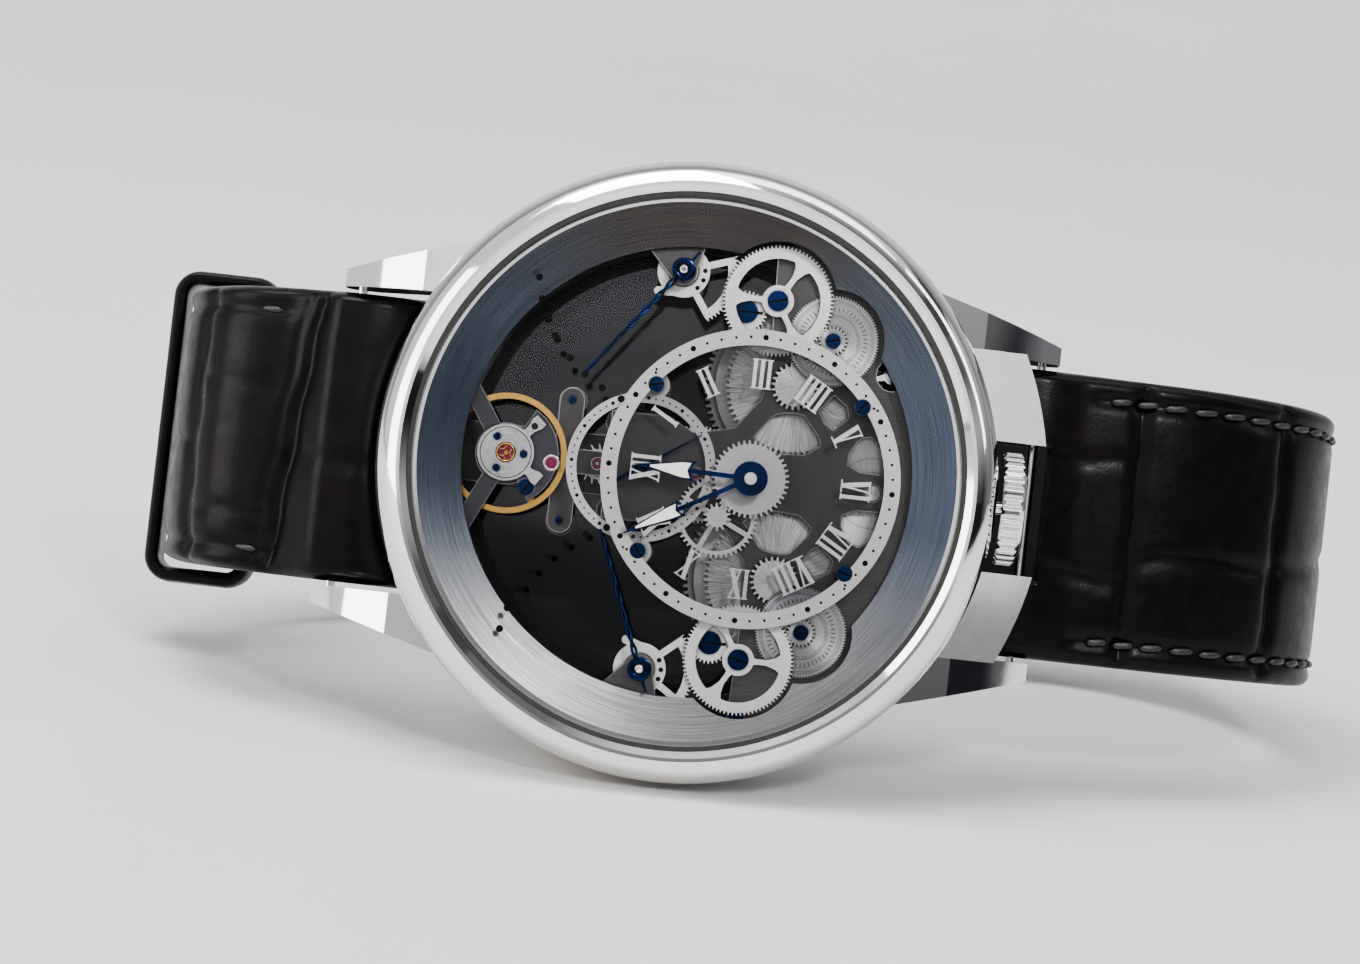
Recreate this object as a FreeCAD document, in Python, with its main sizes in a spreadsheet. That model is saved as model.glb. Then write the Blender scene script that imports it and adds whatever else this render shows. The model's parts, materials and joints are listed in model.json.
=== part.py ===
import FreeCAD, Part
import math
import os
import re

import Sketcher

Vector = FreeCAD.Vector

# Skeleton wristwatch, in millimetres.  The watch is drawn lying flat: X runs from 12 o'clock to
# 6 o'clock, Y towards 3 o'clock and Z out of the dial, from the bezel's centre at dial height.  At the
# end every piece gets the same resting pose: the watch on its 9 o'clock flank, strap buckled.

DIMENSIONS = {
    # case
    "case_radius": 22.3, "bezel_top": 2.4, "bezel_lip": 19.97, "bezel_crest": 20.45, "bezel_seat": 19.3,
    "bezel_wall": 19.76, "bezel_base": -0.8, "bezel_edge": 0.5, "bezel_sweep": 2.9,
    "band_radius": 21.85, "band_bottom": -6.7, "band_waist": 20.6, "bore_radius": 18.9, "ledge_radius": 19.72,
    "back_radius": 20.0, "back_bottom": -7.7, "back_window": 14.6, "back_glass_radius": 15.4,
    "back_glass_thickness": 0.7, "back_screw_circle": 17.8, "back_screw_radius": 0.9, "back_screw_count": 6,
    "crystal_radius": 19.6, "crystal_bottom": 1.2, "crystal_bevel": 0.35, "gasket_gap": 0.02,
    "flange_inner": 16.2, "flange_low": -0.25, "flange_high": 0.95, "flange_under": -0.6,
    "lug_gap": 22.0, "lug_root": 15.0, "lug_tip_y": 12.3, "lug_tip": 26.4, "lug_root_x": 15.8,
    "lug_top": -1.0, "lug_shoulder": -3.2, "lug_nose": -6.6, "lug_foot": -9.4, "lug_heel": -6.2,
    "lug_waist": 20.4, "lug_arc": 18.0,
    "guard_inner_y": 4.75, "guard_outer_y": 11.2, "guard_radius": 26.0, "guard_step": 24.5,
    "guard_top": -1.0, "guard_step_top": -1.35, "guard_bottom": -5.0,
    # crown and stem
    "stem_height": -3.3, "crown_radius": 4.1, "crown_start": 22.7, "crown_length": 1.65, "crown_dome": 0.3,
    "crown_flutes": 36, "crown_flute_radius": 0.28, "crown_skirt": 3.2, "stem_radius": 0.45,
    "stem_inner_end": 15.6, "square_radius": 0.22, "pinion_start": 16.6, "pinion_length": 1.3,
    "winding_pinion_teeth": 16, "winding_pinion_radius": 0.58, "tube_bore": 0.55,
    # strap and buckle
    "bar_x": 25.2, "bar_height": -8.1, "bar_radius": 0.4, "bar_length": 23.6, "bar_hole": 0.55,
    "strap_thickness": 2.6, "strap_end_radius": 1.7, "strap_top_half": 10.75, "strap_back_half": 10.0,
    "buckle_side_lead": 1.8, "buckle_side_slope": 14, "buckle_side_bend": 10.5, "buckle_side_drop": 1.8,
    "buckle_side_turn": 17.5, "hole_side_lead": 9.6, "hole_side_slope": 8, "hole_side_bend": 14.5,
    "strap_tail_end": -19, "tail_point": 6, "layer_gap": 0.2, "crown_notch": 4.9,
    "crown_notch_end": 26.4, "tongue_hole_radius": 0.9, "tail_holes": 5, "tail_hole_pitch": 5.5,
    "buckle_x": 5.0, "buckle_length": 13.0, "buckle_inner_half": 10.2, "buckle_outer_half": 11.5,
    "buckle_thickness": 1.5, "buckle_rail": 2.2, "buckle_eye": 1.15, "tongue_width": 2.0,
    "tongue_thickness": 1.1, "tongue_overhang": 0.9, "tongue_wrap": 0.95, "tongue_slot_half": 1.6,
    "tongue_hole_x": 2.2, "tongue_hole_near": 2.8, "tongue_hole_far": 1.9, "buckle_clearance": 0.15,
    "keeper_width": 4.6, "keeper_wall": 1.1, "keeper_play": 0.2, "loose_play": 1.0, "fixed_keeper_x": -5.5,
    "free_keeper_height": -25.0, "free_keeper_room": 3.4, "keeper_corner": 1.0,
    # plates
    "movement_radius": 18.6, "plate_bottom": -6.55, "plate_top": -5.5, "plate_rim": 16.3, "beam_half": 2.2,
    "bridge_low": -2.1, "bridge_high": -1.55, "bridge_radius": 18.5,
    "pillar_radius": 0.8, "small_pillar_radius": 0.55, "balance_bridge_low": -1.95,
    "balance_bridge_high": -1.4, "balance_arm_width": 1.25, "pallet_bridge_low": -4.0,
    "pallet_bridge_high": -3.6, "pallet_bridge_half": 0.9, "pallet_bridge_reach": 4.4,
    # dial side
    "hour_x": 4.6, "hour_ring_outer": 10.77, "hour_ring_inner": 9.6, "hour_ring_low": -0.1,
    "hour_ring_high": 0.2, "ear_radius": 0.98, "ear_dx": 7.45, "ear_dy": 6.0, "ear_screw_radius": 0.56,
    "dial_radius": 10.2, "dial_low": -0.45, "dial_bore": 0.85, "numeral_inner": 6.5, "numeral_outer": 8.65,
    "numeral_top": 0.02, "numeral_heavy": 0.34, "numeral_light": 0.13, "numeral_pitch": 0.52,
    "numeral_serif": 0.1, "seconds_x": -3.3, "seconds_ring_outer": 5.4, "seconds_ring_inner": 4.65,
    "seconds_ring_low": -1.2, "seconds_ring_high": -0.9,
    "hour_hand_low": 0.58, "hour_hand_high": 0.72, "hour_hand_length": 8.5, "hour_hand_turn": 179,
    "minute_hand_low": 0.86, "minute_hand_high": 1.0, "minute_hand_length": 10.2, "minute_hand_turn": 209.5,
    "hand_stem": 0.17, "hour_arrow_start": 3.9, "hour_arrow_half": 0.75, "minute_arrow_start": 5.2,
    "minute_arrow_half": 0.64, "arrow_notch": 0.45, "hour_hub_radius": 1.05, "minute_hub_radius": 1.24,
    "centre_pin_radius": 0.34, "hand_pin_top": 1.1, "seconds_hand_low": -0.75, "seconds_hand_high": -0.64,
    "seconds_hand_length": 4.95, "seconds_hand_tail": 2.6, "seconds_hand_turn": 34, "seconds_hub_radius": 0.5,
    "reserve_hand_low": 0.36, "reserve_hand_high": 0.5, "reserve_hand_length": 10.36,
    "reserve_hand_half": 0.24, "reserve_hub_radius": 0.85,
    # winding and going train
    "barrel_x": 7.1, "barrel_y": 7.05, "barrel_teeth": 80, "centre_pinion_teeth": 14, "barrel_drum": 5.75,
    "barrel_wall": 0.3, "barrel_gear_low": -5.35, "barrel_gear_high": -4.95, "barrel_top": -3.1,
    "barrel_bore": 1.0, "barrel_arbor": 0.85, "mainspring_inner": 1.5, "mainspring_outer": 5.3,
    "mainspring_turns": 9, "mainspring_strip": 0.12, "ratchet_low": -2.55, "ratchet_high": -2.25,
    "ratchet_teeth": 72, "crown_wheel_teeth": 68, "crown_wheel_x": 13.5, "cap_wheel_teeth": 24,
    "cap_wheel_radius": 1.62, "cap_wheel_low": -1.52, "cap_wheel_high": -1.34, "cap_neck": 0.75,
    "centre_teeth": 80, "third_x": 0.65, "third_pinion_teeth": 10, "third_teeth": 75,
    "fourth_pinion_teeth": 10, "fourth_teeth": 84, "escape_x": -6.5, "escape_pinion_teeth": 7,
    "escape_teeth": 15, "escape_radius": 1.5, "centre_wheel_low": -2.95, "centre_wheel_high": -2.72,
    "third_wheel_low": -3.66, "third_wheel_high": -3.5, "fourth_wheel_low": -4.36,
    "fourth_wheel_high": -4.2, "escape_wheel_low": -4.95, "escape_wheel_high": -4.8,
    "arbor_radius": 0.16, "wheel_rim": 0.42, "wheel_hub": 0.62, "spoke_width": 0.36,
    "cannon_teeth": 12, "minute_wheel_teeth": 48, "minute_pinion_teeth": 14, "hour_wheel_teeth": 42,
    "motion_distance": 3.6, "motion_direction": 235, "minute_wheel_low": -1.52, "minute_wheel_high": -1.36,
    "hour_wheel_low": -0.84, "hour_wheel_high": -0.66, "hour_pipe": 0.68, "hour_pipe_bore": 0.5,
    "cannon_radius": 0.44, "pinion_overlap": 0.1, "minute_pivot": 0.3,
    # escapement
    "balance_x": -13.1, "balance_radius": 4.37, "balance_rim": 0.42, "balance_low": -3.1,
    "balance_high": -2.65, "balance_arm": 0.5, "balance_hub": 0.75, "roller_radius": 0.55,
    "roller_low": -4.5, "roller_high": -4.3, "impulse_pin": 0.08, "impulse_circle": 0.4,
    "impulse_bottom": -4.86, "pallet_x": -9.5, "pallet_low": -4.95, "pallet_high": -4.8, "pallet_arm": 1.15,
    "fork_half": 0.14, "fork_reach": 2.6, "hairspring_inner": 0.55, "hairspring_outer": 2.3,
    "hairspring_turns": 9, "hairspring_strip": 0.035, "hairspring_low": -2.42, "hairspring_high": -2.3,
    "regulator_low": -1.38, "regulator_high": -1.2, "regulator_radius": 2.05, "regulator_groove": 1.84,
    "regulator_bore": 0.75, "regulator_reach": 3.5, "regulator_short_reach": 3.15, "regulator_waist": 0.3,
    "regulator_flare": 0.5, "regulator_turn": 48, "regulator_spread": -82, "lobe_radius": 3.78,
    "lobe_half_angle": 60, "lobe_jewel_x": -9.75, "lobe_jewel_y": -0.4, "lobe_screw_x": -11.38,
    "lobe_screw_y": -2.34, "lobe_screw_radius": 0.6, "balance_arm_turn": 33.7,
    # power reserve train
    "sector_x": -1.8, "sector_y": 14.4, "sector_teeth": 82, "sector_module": 0.0958, "sector_hub": 1.9,
    "sector_collar": 1.16, "sector_gap": 1.02, "sector_rim": 0.72, "sector_tail": 2.3, "sector_spare": 6,
    "sector_arm": 0.5, "sector_arm_inset": 3.7, "sector_tail_root": 1.5, "sector_tail_width": 0.62,
    "sector_tail_near": 75, "sector_tail_far": 118, "sector_dot_circle": 1.55, "sector_dot": 0.17,
    "sector_dot_step": 26,
    "upper_rest": 52.7, "lower_rest": 68, "reserve_empty": 9.8, "reserve_full": 79.4,
    "idler_x": 3.0, "idler_y": 12.0, "idler_teeth": 30, "reserve_pinion_teeth": 20, "reserve_teeth": 84,
    "reserve_module": 0.0934, "reserve_direction": 24.4, "planet_teeth": 21, "planet_direction": -29.75,
    "low_storey_low": -1.45, "low_storey_high": -1.2, "high_storey_low": -1.02, "high_storey_high": -0.8,
    "reserve_rim": 0.86, "reserve_wheel_hub": 1.15, "spoke_waist": 0.2, "spoke_flare": 0.62,
    "snail_radius": 3.3, "snail_teeth": 96, "snail_low": -1.3, "snail_high": -1.06, "snail_marks": 48,
    "snail_mark_circle": 2.35, "snail_mark_length": 0.32, "snail_mark_width": 0.09, "cock_low": -1.1,
    "cock_high": -0.84, "cock_end": 1.0, "cock_foot_x": -3.9, "cock_foot_y": 17.2, "cock_post": 0.6,
    "cock_bore": 0.42,
    # click
    "click_x": 14.0, "click_y": 8.6, "click_low": -2.5, "click_high": -2.3, "click_turn": 196,
    "click_length": 2.1, "click_half": 0.3, "click_hub": 0.6,
    # screws and jewels
    "screw_head": 0.16, "slot_width": 0.2, "slot_depth": 0.09,
    "small_screw_radius": 0.5, "tiny_screw_radius": 0.28, "idler_screw_radius": 0.82,
    "wheel_screw_radius": 0.74, "planet_screw_radius": 0.55, "low_head": 0.14, "tiny_head": 0.1,
    "jewel_radius": 0.62, "small_jewel_radius": 0.42,
    # teeth, as parts of the module
    "tooth_rise": 0.95, "tooth_sink": 1.25, "tooth_tip": 0.2, "tooth_side": 0.42, "tooth_foot": 0.56,
}

doc = FreeCAD.newDocument("skeleton_wristwatch")
dims = doc.addObject("Spreadsheet::Sheet", "Dims")
nodes = {}


def fill_sheet():
    """Write every driving dimension, with its alias, into the sheet."""
    for row, (alias, number) in enumerate(DIMENSIONS.items(), start=1):
        dims.set("A%d" % row, alias)
        dims.set("B%d" % row, str(number))
        dims.setAlias("B%d" % row, alias)
    doc.recompute()


def formula(text):
    """Point every alias in an expression at the sheet."""
    return re.sub(r"[a-z][a-z_0-9]*", lambda word: prefixed(word.group()), str(text))


def prefixed(word):
    """Give an alias its sheet's name and leave functions such as sqrt alone."""
    return "Dims." + word if word in DIMENSIONS else word


def size(text):
    """The value of an expression of aliases."""
    return float(dims.evalExpression(formula(text)))


def bind(thing, **expressions):
    """Bind properties to expressions; x, y and z stand for the placement's base."""
    for name, text in expressions.items():
        path = "Placement.Base." + name if name in ("x", "y", "z") else name
        thing.setExpression(path, formula(text))
    return thing


# ---- sketches and bodies -----------------------------------------------------------------------


def new_body(label):
    body = doc.addObject("PartDesign::Body", label)
    body.Label = label
    return body


def new_sketch(body, name, role="XY_Plane", height="0"):
    """A sketch on one of the body's origin planes, raised by height."""
    sketch = body.newObject("Sketcher::SketchObject", name)
    plane = [feature for feature in body.Origin.OriginFeatures if feature.Role == role][0]
    sketch.AttachmentSupport = [(plane, "")]
    sketch.MapMode = "FlatFace"
    sketch.setExpression("AttachmentOffset.Base.z", formula(height))
    return sketch


def pin_point(sketch, geometry, corner_number, x, y):
    """Hold one sketch point at a bound distance from the origin."""
    for kind, text, axis in (("DistanceX", x, -2), ("DistanceY", y, -1)):
        if abs(size(text)) < 1e-9:
            sketch.addConstraint(Sketcher.Constraint("PointOnObject", geometry, corner_number, axis))
            continue
        held = sketch.addConstraint(
            Sketcher.Constraint(kind, -1, 1, geometry, corner_number, size(text)))
        sketch.setExpression("Constraints[%d]" % held, formula(text))


def add_arc(sketch, start, end, bend):
    """An arc from start to end: a positive bend turns left, a negative one right."""
    chord = end - start
    left = Vector(-chord.y, chord.x, 0).normalize()
    rise = math.sqrt(max(bend * bend - (chord.Length / 2) ** 2, 0.0))
    centre = (start + end) / 2 + left * math.copysign(rise, bend)
    first, last = (start, end) if bend > 0 else (end, start)
    angles = [math.atan2(point.y - centre.y, point.x - centre.x) for point in (first, last)]
    circle = Part.Circle(centre, Vector(0, 0, 1), abs(bend))
    return sketch.addGeometry(Part.ArcOfCircle(circle, angles[0], angles[1]), False)


def add_outline(sketch, corners, closed=True):
    """Lines and arcs through corners (x, y) or (x, y, bend of the edge that leaves it)."""
    points = [Vector(size(corner[0]), size(corner[1]), 0) for corner in corners]
    edges = []
    for index in range(len(points) if closed else len(points) - 1):
        start, end = points[index], points[(index + 1) % len(points)]
        if len(corners[index]) == 2:
            edges.append((sketch.addGeometry(Part.LineSegment(start, end), False), 1, 2))
            continue
        bend = corners[index][2]
        arc = add_arc(sketch, start, end, size(bend))
        held = sketch.addConstraint(Sketcher.Constraint("Radius", arc, abs(size(bend))))
        sketch.setExpression("Constraints[%d]" % held, "abs(%s)" % formula(bend))
        edges.append((arc, 1, 2) if size(bend) > 0 else (arc, 2, 1))
    for index, (edge, first, last) in enumerate(edges):
        pin_point(sketch, edge, first, corners[index][0], corners[index][1])
        if closed or index + 1 < len(edges):
            after = edges[(index + 1) % len(edges)]
            sketch.addConstraint(Sketcher.Constraint("Coincident", edge, last, after[0], after[1]))
        else:
            pin_point(sketch, edge, last, corners[-1][0], corners[-1][1])


def add_circle(sketch, x, y, radius):
    circle = sketch.addGeometry(
        Part.Circle(Vector(size(x), size(y), 0), Vector(0, 0, 1), size(radius)), False)
    held = sketch.addConstraint(Sketcher.Constraint("Radius", circle, size(radius)))
    sketch.setExpression("Constraints[%d]" % held, formula(radius))
    pin_point(sketch, circle, 3, x, y)


def add_pad(body, name, low, high, outlines=(), circles=(), role="XY_Plane"):
    """Pad outlines and circles from one height to another."""
    sketch = new_sketch(body, name + "_sketch", role, low)
    for corners in outlines:
        add_outline(sketch, corners)
    for circle in circles:
        add_circle(sketch, *circle)
    pad = body.newObject("PartDesign::Pad", name)
    pad.Profile = sketch
    bind(pad, Length="(%s) - (%s)" % (high, low))
    return pad


def add_pocket(body, name, low, high, outlines=(), circles=(), role="XY_Plane"):
    """Cut outlines and circles away between two heights."""
    sketch = new_sketch(body, name + "_sketch", role, high)
    for corners in outlines:
        add_outline(sketch, corners)
    for circle in circles:
        add_circle(sketch, *circle)
    pocket = body.newObject("PartDesign::Pocket", name)
    pocket.Profile = sketch
    bind(pocket, Length="(%s) - (%s)" % (high, low))
    return pocket


def add_turning(body, name, kind, corners):
    """Turn a profile of (radius, height) corners round the body's Z axis."""
    sketch = new_sketch(body, name + "_sketch", "XZ_Plane")
    add_outline(sketch, corners)
    turning = body.newObject("PartDesign::" + kind, name)
    turning.Profile = sketch
    turning.ReferenceAxis = (sketch, ["V_Axis"])
    turning.Angle = 360
    return turning


def turned(label, corners):
    body = new_body(label)
    add_turning(body, label + "_turned", "Revolution", corners)
    return body


def mirrored(corners, flip_x=False, flip_y=False):
    """The same outline on the other side of an axis."""
    swapped = []
    for corner in corners:
        x = "-(%s)" % corner[0] if flip_x else corner[0]
        y = "-(%s)" % corner[1] if flip_y else corner[1]
        bend = list(corner[2:])
        if bend and flip_x != flip_y:
            bend = ["-(%s)" % bend[0]]
        swapped.append(tuple([x, y] + bend))
    return swapped


def rectangle(x_low, x_high, y_low, y_high):
    return [(x_low, y_low), (x_high, y_low), (x_high, y_high), (x_low, y_high)]


# ---- primitives and booleans -------------------------------------------------------------------


def cylinder(name, radius, low, high, x="0", y="0"):
    part = doc.addObject("Part::Cylinder", name)
    return bind(part, Radius=radius, Height="(%s) - (%s)" % (high, low), x=x, y=y, z=low)


def box(name, x, y, z):
    """A box from three (low, high) pairs."""
    part = doc.addObject("Part::Box", name)
    bind(part, x=x[0], y=y[0], z=z[0])
    return bind(part, Length="(%s) - (%s)" % (x[1], x[0]), Width="(%s) - (%s)" % (y[1], y[0]),
                Height="(%s) - (%s)" % (z[1], z[0]))


def fused(name, parts):
    fusion = doc.addObject("Part::MultiFuse", name)
    fusion.Shapes = parts
    return fusion


def cut(name, base, tool):
    result = doc.addObject("Part::Cut", name)
    result.Base = base
    result.Tool = tool
    return result


def gathered(name, parts):
    """Separate solids kept together as one node."""
    group = doc.addObject("Part::Compound", name)
    group.Links = parts
    return group


def shaped(label, shape):
    feature = doc.addObject("Part::Feature", label)
    feature.Shape = shape
    return feature


def keep(label, thing, x=0.0, y=0.0, z=0.0, turn=0.0):
    """Make a thing one of the watch's pieces, at its place on the flat watch."""
    thing.Label = label
    spin = FreeCAD.Rotation(Vector(0, 0, 1), turn)
    nodes[label] = (thing, FreeCAD.Placement(Vector(x, y, z), spin))
    return thing


# ---- toothed wheels ----------------------------------------------------------------------------


def disc(radius, low, high, x=0.0, y=0.0):
    return Part.makeCylinder(radius, high - low, Vector(x, y, low))


def polar(radius, degrees, height=0.0):
    angle = math.radians(degrees)
    return Vector(radius * math.cos(angle), radius * math.sin(angle), height)


def toothed_disc(teeth, pitch_radius, low, high):
    """A disc with pointed watch teeth, the first one on the X axis."""
    module = 2 * pitch_radius / teeth
    pitch = 360.0 / teeth
    tip = pitch_radius + size("tooth_rise") * module
    root = pitch_radius - size("tooth_sink") * module
    spread = [(root, -size("tooth_foot")), (pitch_radius, -size("tooth_side")), (tip, -size("tooth_tip")),
              (tip, size("tooth_tip")), (pitch_radius, size("tooth_side")), (root, size("tooth_foot"))]
    corners = []
    for tooth in range(int(teeth)):
        for radius, share in spread:
            corners.append(polar(radius, (tooth + share / 2) * pitch, low))
    face = Part.Face(Part.makePolygon(corners + corners[:1]))
    return face.extrude(Vector(0, 0, high - low))


def crossings(hub, rim, spokes, width, low, high):
    """The openings between a wheel's spokes, as one shape to cut away."""
    ring = disc(rim, low, high).cut(disc(hub, low, high))
    bars = [Part.makeBox(rim, width, high - low, Vector(0, -width / 2, low)) for _ in range(spokes)]
    for number, bar in enumerate(bars):
        bar.rotate(Vector(0, 0, 0), Vector(0, 0, 1), number * 360.0 / spokes + 180.0 / spokes)
    return ring.cut(bars)


def spoked_wheel(teeth, pitch_radius, low, high, spokes):
    """A toothed wheel crossed out between hub and rim."""
    wheel = toothed_disc(teeth, pitch_radius, low, high)
    inner_rim = pitch_radius - size("wheel_rim")
    return wheel.cut(crossings(size("wheel_hub"), inner_rim, spokes, size("spoke_width"), low, high))


def gear_distance(module, teeth, pinion_teeth):
    return module * (teeth + pinion_teeth) / 2


def meshed_turn(driver_at, driver_teeth, driver_turn, driven_at, driven_teeth):
    """The turn that lets the driven wheel's gaps take the driver's teeth."""
    line = math.degrees(math.atan2(driven_at.y - driver_at.y, driven_at.x - driver_at.x))
    share = (line - driver_turn) / (360.0 / driver_teeth)
    return line + 180.0 - (0.5 - share) * 360.0 / driven_teeth


def spiral_strip(inner, outer, turns, strip, low, high):
    """A flat spiral spring of rectangular wire, in short straight facets."""
    facets = int(turns * 20)
    inside, outside = [], []
    for step in range(facets + 1):
        radius = inner + (outer - inner) * step / facets
        degrees = turns * 360.0 * step / facets
        inside.append(polar(radius - strip / 2, degrees, low))
        outside.append(polar(radius + strip / 2, degrees, low))
    corners = inside + outside[::-1]
    return Part.Face(Part.makePolygon(corners + corners[:1])).extrude(Vector(0, 0, high - low))


# ---- case --------------------------------------------------------------------------------------


def make_case_middle():
    """Band, four lugs and crown guards, bored out for the movement."""
    body = new_body("case_middle")
    profile = [("lug_root_x", "lug_top"), ("lug_waist", "lug_shoulder + 1.3", "-lug_arc"),
               ("lug_tip", "lug_nose"), ("lug_tip", "lug_foot + 0.7"), ("lug_tip - 0.7", "lug_foot"),
               ("lug_tip - 2.4", "lug_foot"), ("lug_waist - 0.6", "lug_heel"), ("lug_root_x", "lug_heel")]
    add_pad(body, "lug_blank", "-lug_root", "lug_root", role="XZ_Plane",
            outlines=[profile, mirrored(profile, flip_x=True)])
    gap = rectangle("lug_root_x - 1", "lug_tip + 1", "-lug_gap / 2", "lug_gap / 2")
    side = [("lug_root_x - 1", "lug_root + 0.4"), ("lug_root_x + 0.7", "lug_root"),
            ("lug_tip", "lug_tip_y"), ("lug_tip + 1", "lug_tip_y"), ("lug_tip + 1", "lug_root + 2"),
            ("lug_root_x - 1", "lug_root + 2")]
    add_pocket(body, "strap_gaps", "lug_foot - 1", "1", outlines=[gap, mirrored(gap, flip_x=True)])
    add_pocket(body, "lug_taper", "lug_foot - 1", "1",
               outlines=[mirrored(side, flip_x, flip_y) for flip_x in (False, True)
                         for flip_y in (False, True)])
    add_turning(body, "band", "Revolution",
                [("bore_radius - 1", "bezel_base"), ("band_radius", "bezel_base"),
                 ("band_radius", "band_bottom + 2.2"), ("band_waist", "band_bottom"),
                 ("bore_radius - 1", "band_bottom")])
    for name, radius, top in (("guards", "guard_radius", "guard_step_top"),
                              ("guard_shoulders", "guard_step", "guard_top")):
        guard = [("sqrt(band_radius^2 - guard_inner_y^2) - 1", "guard_inner_y"),
                 ("sqrt(%s^2 - guard_inner_y^2)" % radius, "guard_inner_y", radius),
                 ("sqrt(%s^2 - guard_outer_y^2)" % radius, "guard_outer_y"),
                 ("sqrt(band_radius^2 - guard_outer_y^2) - 1", "guard_outer_y")]
        add_pad(body, name, "guard_bottom", top, outlines=[guard, mirrored(guard, flip_y=True)])
    add_turning(body, "bore", "Groove",
                [("0", "1"), ("ledge_radius", "1"), ("ledge_radius", "bezel_base"),
                 ("bore_radius", "bezel_base"), ("bore_radius", "band_bottom - 3"),
                 ("0", "band_bottom - 3")])
    add_pocket(body, "stem_hole", "bore_radius - 1", "guard_radius", role="YZ_Plane",
               circles=[("0", "stem_height", "tube_bore")])
    add_pocket(body, "bar_holes", "-bar_length / 2", "bar_length / 2", role="XZ_Plane",
               circles=[("bar_x", "bar_height", "bar_radius"), ("-bar_x", "bar_height", "bar_radius")])
    keep("case_middle", body)


def make_bezel():
    keep("bezel", turned("bezel", [
        ("bezel_seat", "flange_high + 0.03"), ("bezel_wall", "flange_high + 0.03"),
        ("bezel_wall", "bezel_base"), ("band_radius", "bezel_base"), ("case_radius", "bezel_base + 0.45"),
        ("case_radius", "bezel_edge", "bezel_sweep"), ("bezel_crest + 0.25", "bezel_top"),
        ("bezel_crest", "bezel_top"), ("bezel_lip", "bezel_top - 0.25"),
        ("bezel_lip", "crystal_bottom - 0.02"), ("bezel_seat", "crystal_bottom - 0.02")]))


def make_glass():
    """Front crystal, its gasket and the grey window in the back."""
    keep("crystal", turned("crystal", [
        ("0", "crystal_bottom"), ("crystal_radius", "crystal_bottom"),
        ("crystal_radius", "bezel_top - crystal_bevel"), ("crystal_radius - crystal_bevel", "bezel_top"),
        ("0", "bezel_top")]))
    keep("crystal_gasket", turned("crystal_gasket", [
        ("crystal_radius + gasket_gap", "crystal_bottom"), ("bezel_lip - gasket_gap", "crystal_bottom"),
        ("bezel_lip - gasket_gap", "bezel_top - 0.3"), ("crystal_radius + gasket_gap", "bezel_top - 0.3")]))
    keep("back_crystal", turned("back_crystal", [
        ("0", "back_bottom + 0.12"), ("back_glass_radius - 0.2", "back_bottom + 0.12"),
        ("back_glass_radius", "back_bottom + 0.32"),
        ("back_glass_radius", "back_bottom + 0.12 + back_glass_thickness"),
        ("0", "back_bottom + 0.12 + back_glass_thickness")]))


def make_case_back():
    body = turned("case_back", [
        ("back_window", "back_bottom"), ("back_radius - 0.5", "back_bottom"),
        ("back_radius", "back_bottom + 0.5"), ("back_radius", "band_bottom"),
        ("back_glass_radius + 0.02", "band_bottom"), ("back_glass_radius + 0.02", "back_bottom + 0.12"),
        ("back_window", "back_bottom + 0.12")])
    screw_places = [polar(size("back_screw_circle"), number * 360.0 / size("back_screw_count") + 30)
                    for number in range(int(size("back_screw_count")))]
    add_pocket(body, "screw_seats", "back_bottom - 0.1", "back_bottom + 0.5",
               circles=[(place.x, place.y, "back_screw_radius + 0.02") for place in screw_places])
    keep("case_back", body)
    screws = []
    for number, place in enumerate(screw_places, start=1):
        head = cylinder("back_screw_head_%d" % number, "back_screw_radius", "back_bottom + 0.05",
                        "back_bottom + 0.48", place.x, place.y)
        slot = box("back_screw_slot_%d" % number, ("%f - 1" % place.x, "%f + 1" % place.x),
                   ("%f - 0.15" % place.y, "%f + 0.15" % place.y),
                   ("back_bottom", "back_bottom + 0.2"))
        screws.append(cut("back_screw_%d" % number, head, slot))
    keep("case_back_screws", gathered("case_back_screws", screws))


def reserve_centres():
    """Centres of the upper power reserve train: sector, idler, reserve wheel and planet pinion."""
    sector = Vector(size("sector_x"), size("sector_y"), 0)
    idler = Vector(size("idler_x"), size("idler_y"), 0)
    low_distance = gear_distance(size("sector_module"), size("idler_teeth"), size("reserve_pinion_teeth"))
    wheel = idler + polar(low_distance, size("reserve_direction"))
    high_distance = gear_distance(size("reserve_module"), size("reserve_teeth"), size("planet_teeth"))
    planet = wheel + polar(high_distance, size("planet_direction"))
    return {"sector": sector, "idler": idler, "wheel": wheel, "planet": planet}


def make_flange():
    """Sloping ring under the crystal, scalloped round the power reserve wheels."""
    body = turned("inner_flange", [
        ("flange_inner", "flange_under"), ("bore_radius + 0.05", "flange_under"),
        ("bore_radius + 0.05", "bezel_base"), ("ledge_radius - 0.02", "bezel_base"),
        ("ledge_radius - 0.02", "flange_high"), ("ledge_radius - 0.3", "flange_high"),
        ("flange_inner", "flange_low")])
    centres = reserve_centres()
    wheel_reach = size("reserve_module * reserve_teeth / 2") + 0.3
    scallops = []
    for side in (1, -1):
        scallops.append((centres["wheel"].x, side * centres["wheel"].y, wheel_reach))
        scallops.append((centres["planet"].x, side * centres["planet"].y, "snail_radius + 0.35"))
    for number, scallop in enumerate(scallops):
        add_pocket(body, "scallop_%d" % number, "flange_under - 1", "flange_high + 1", circles=[scallop])
    keep("inner_flange", body)


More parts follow.
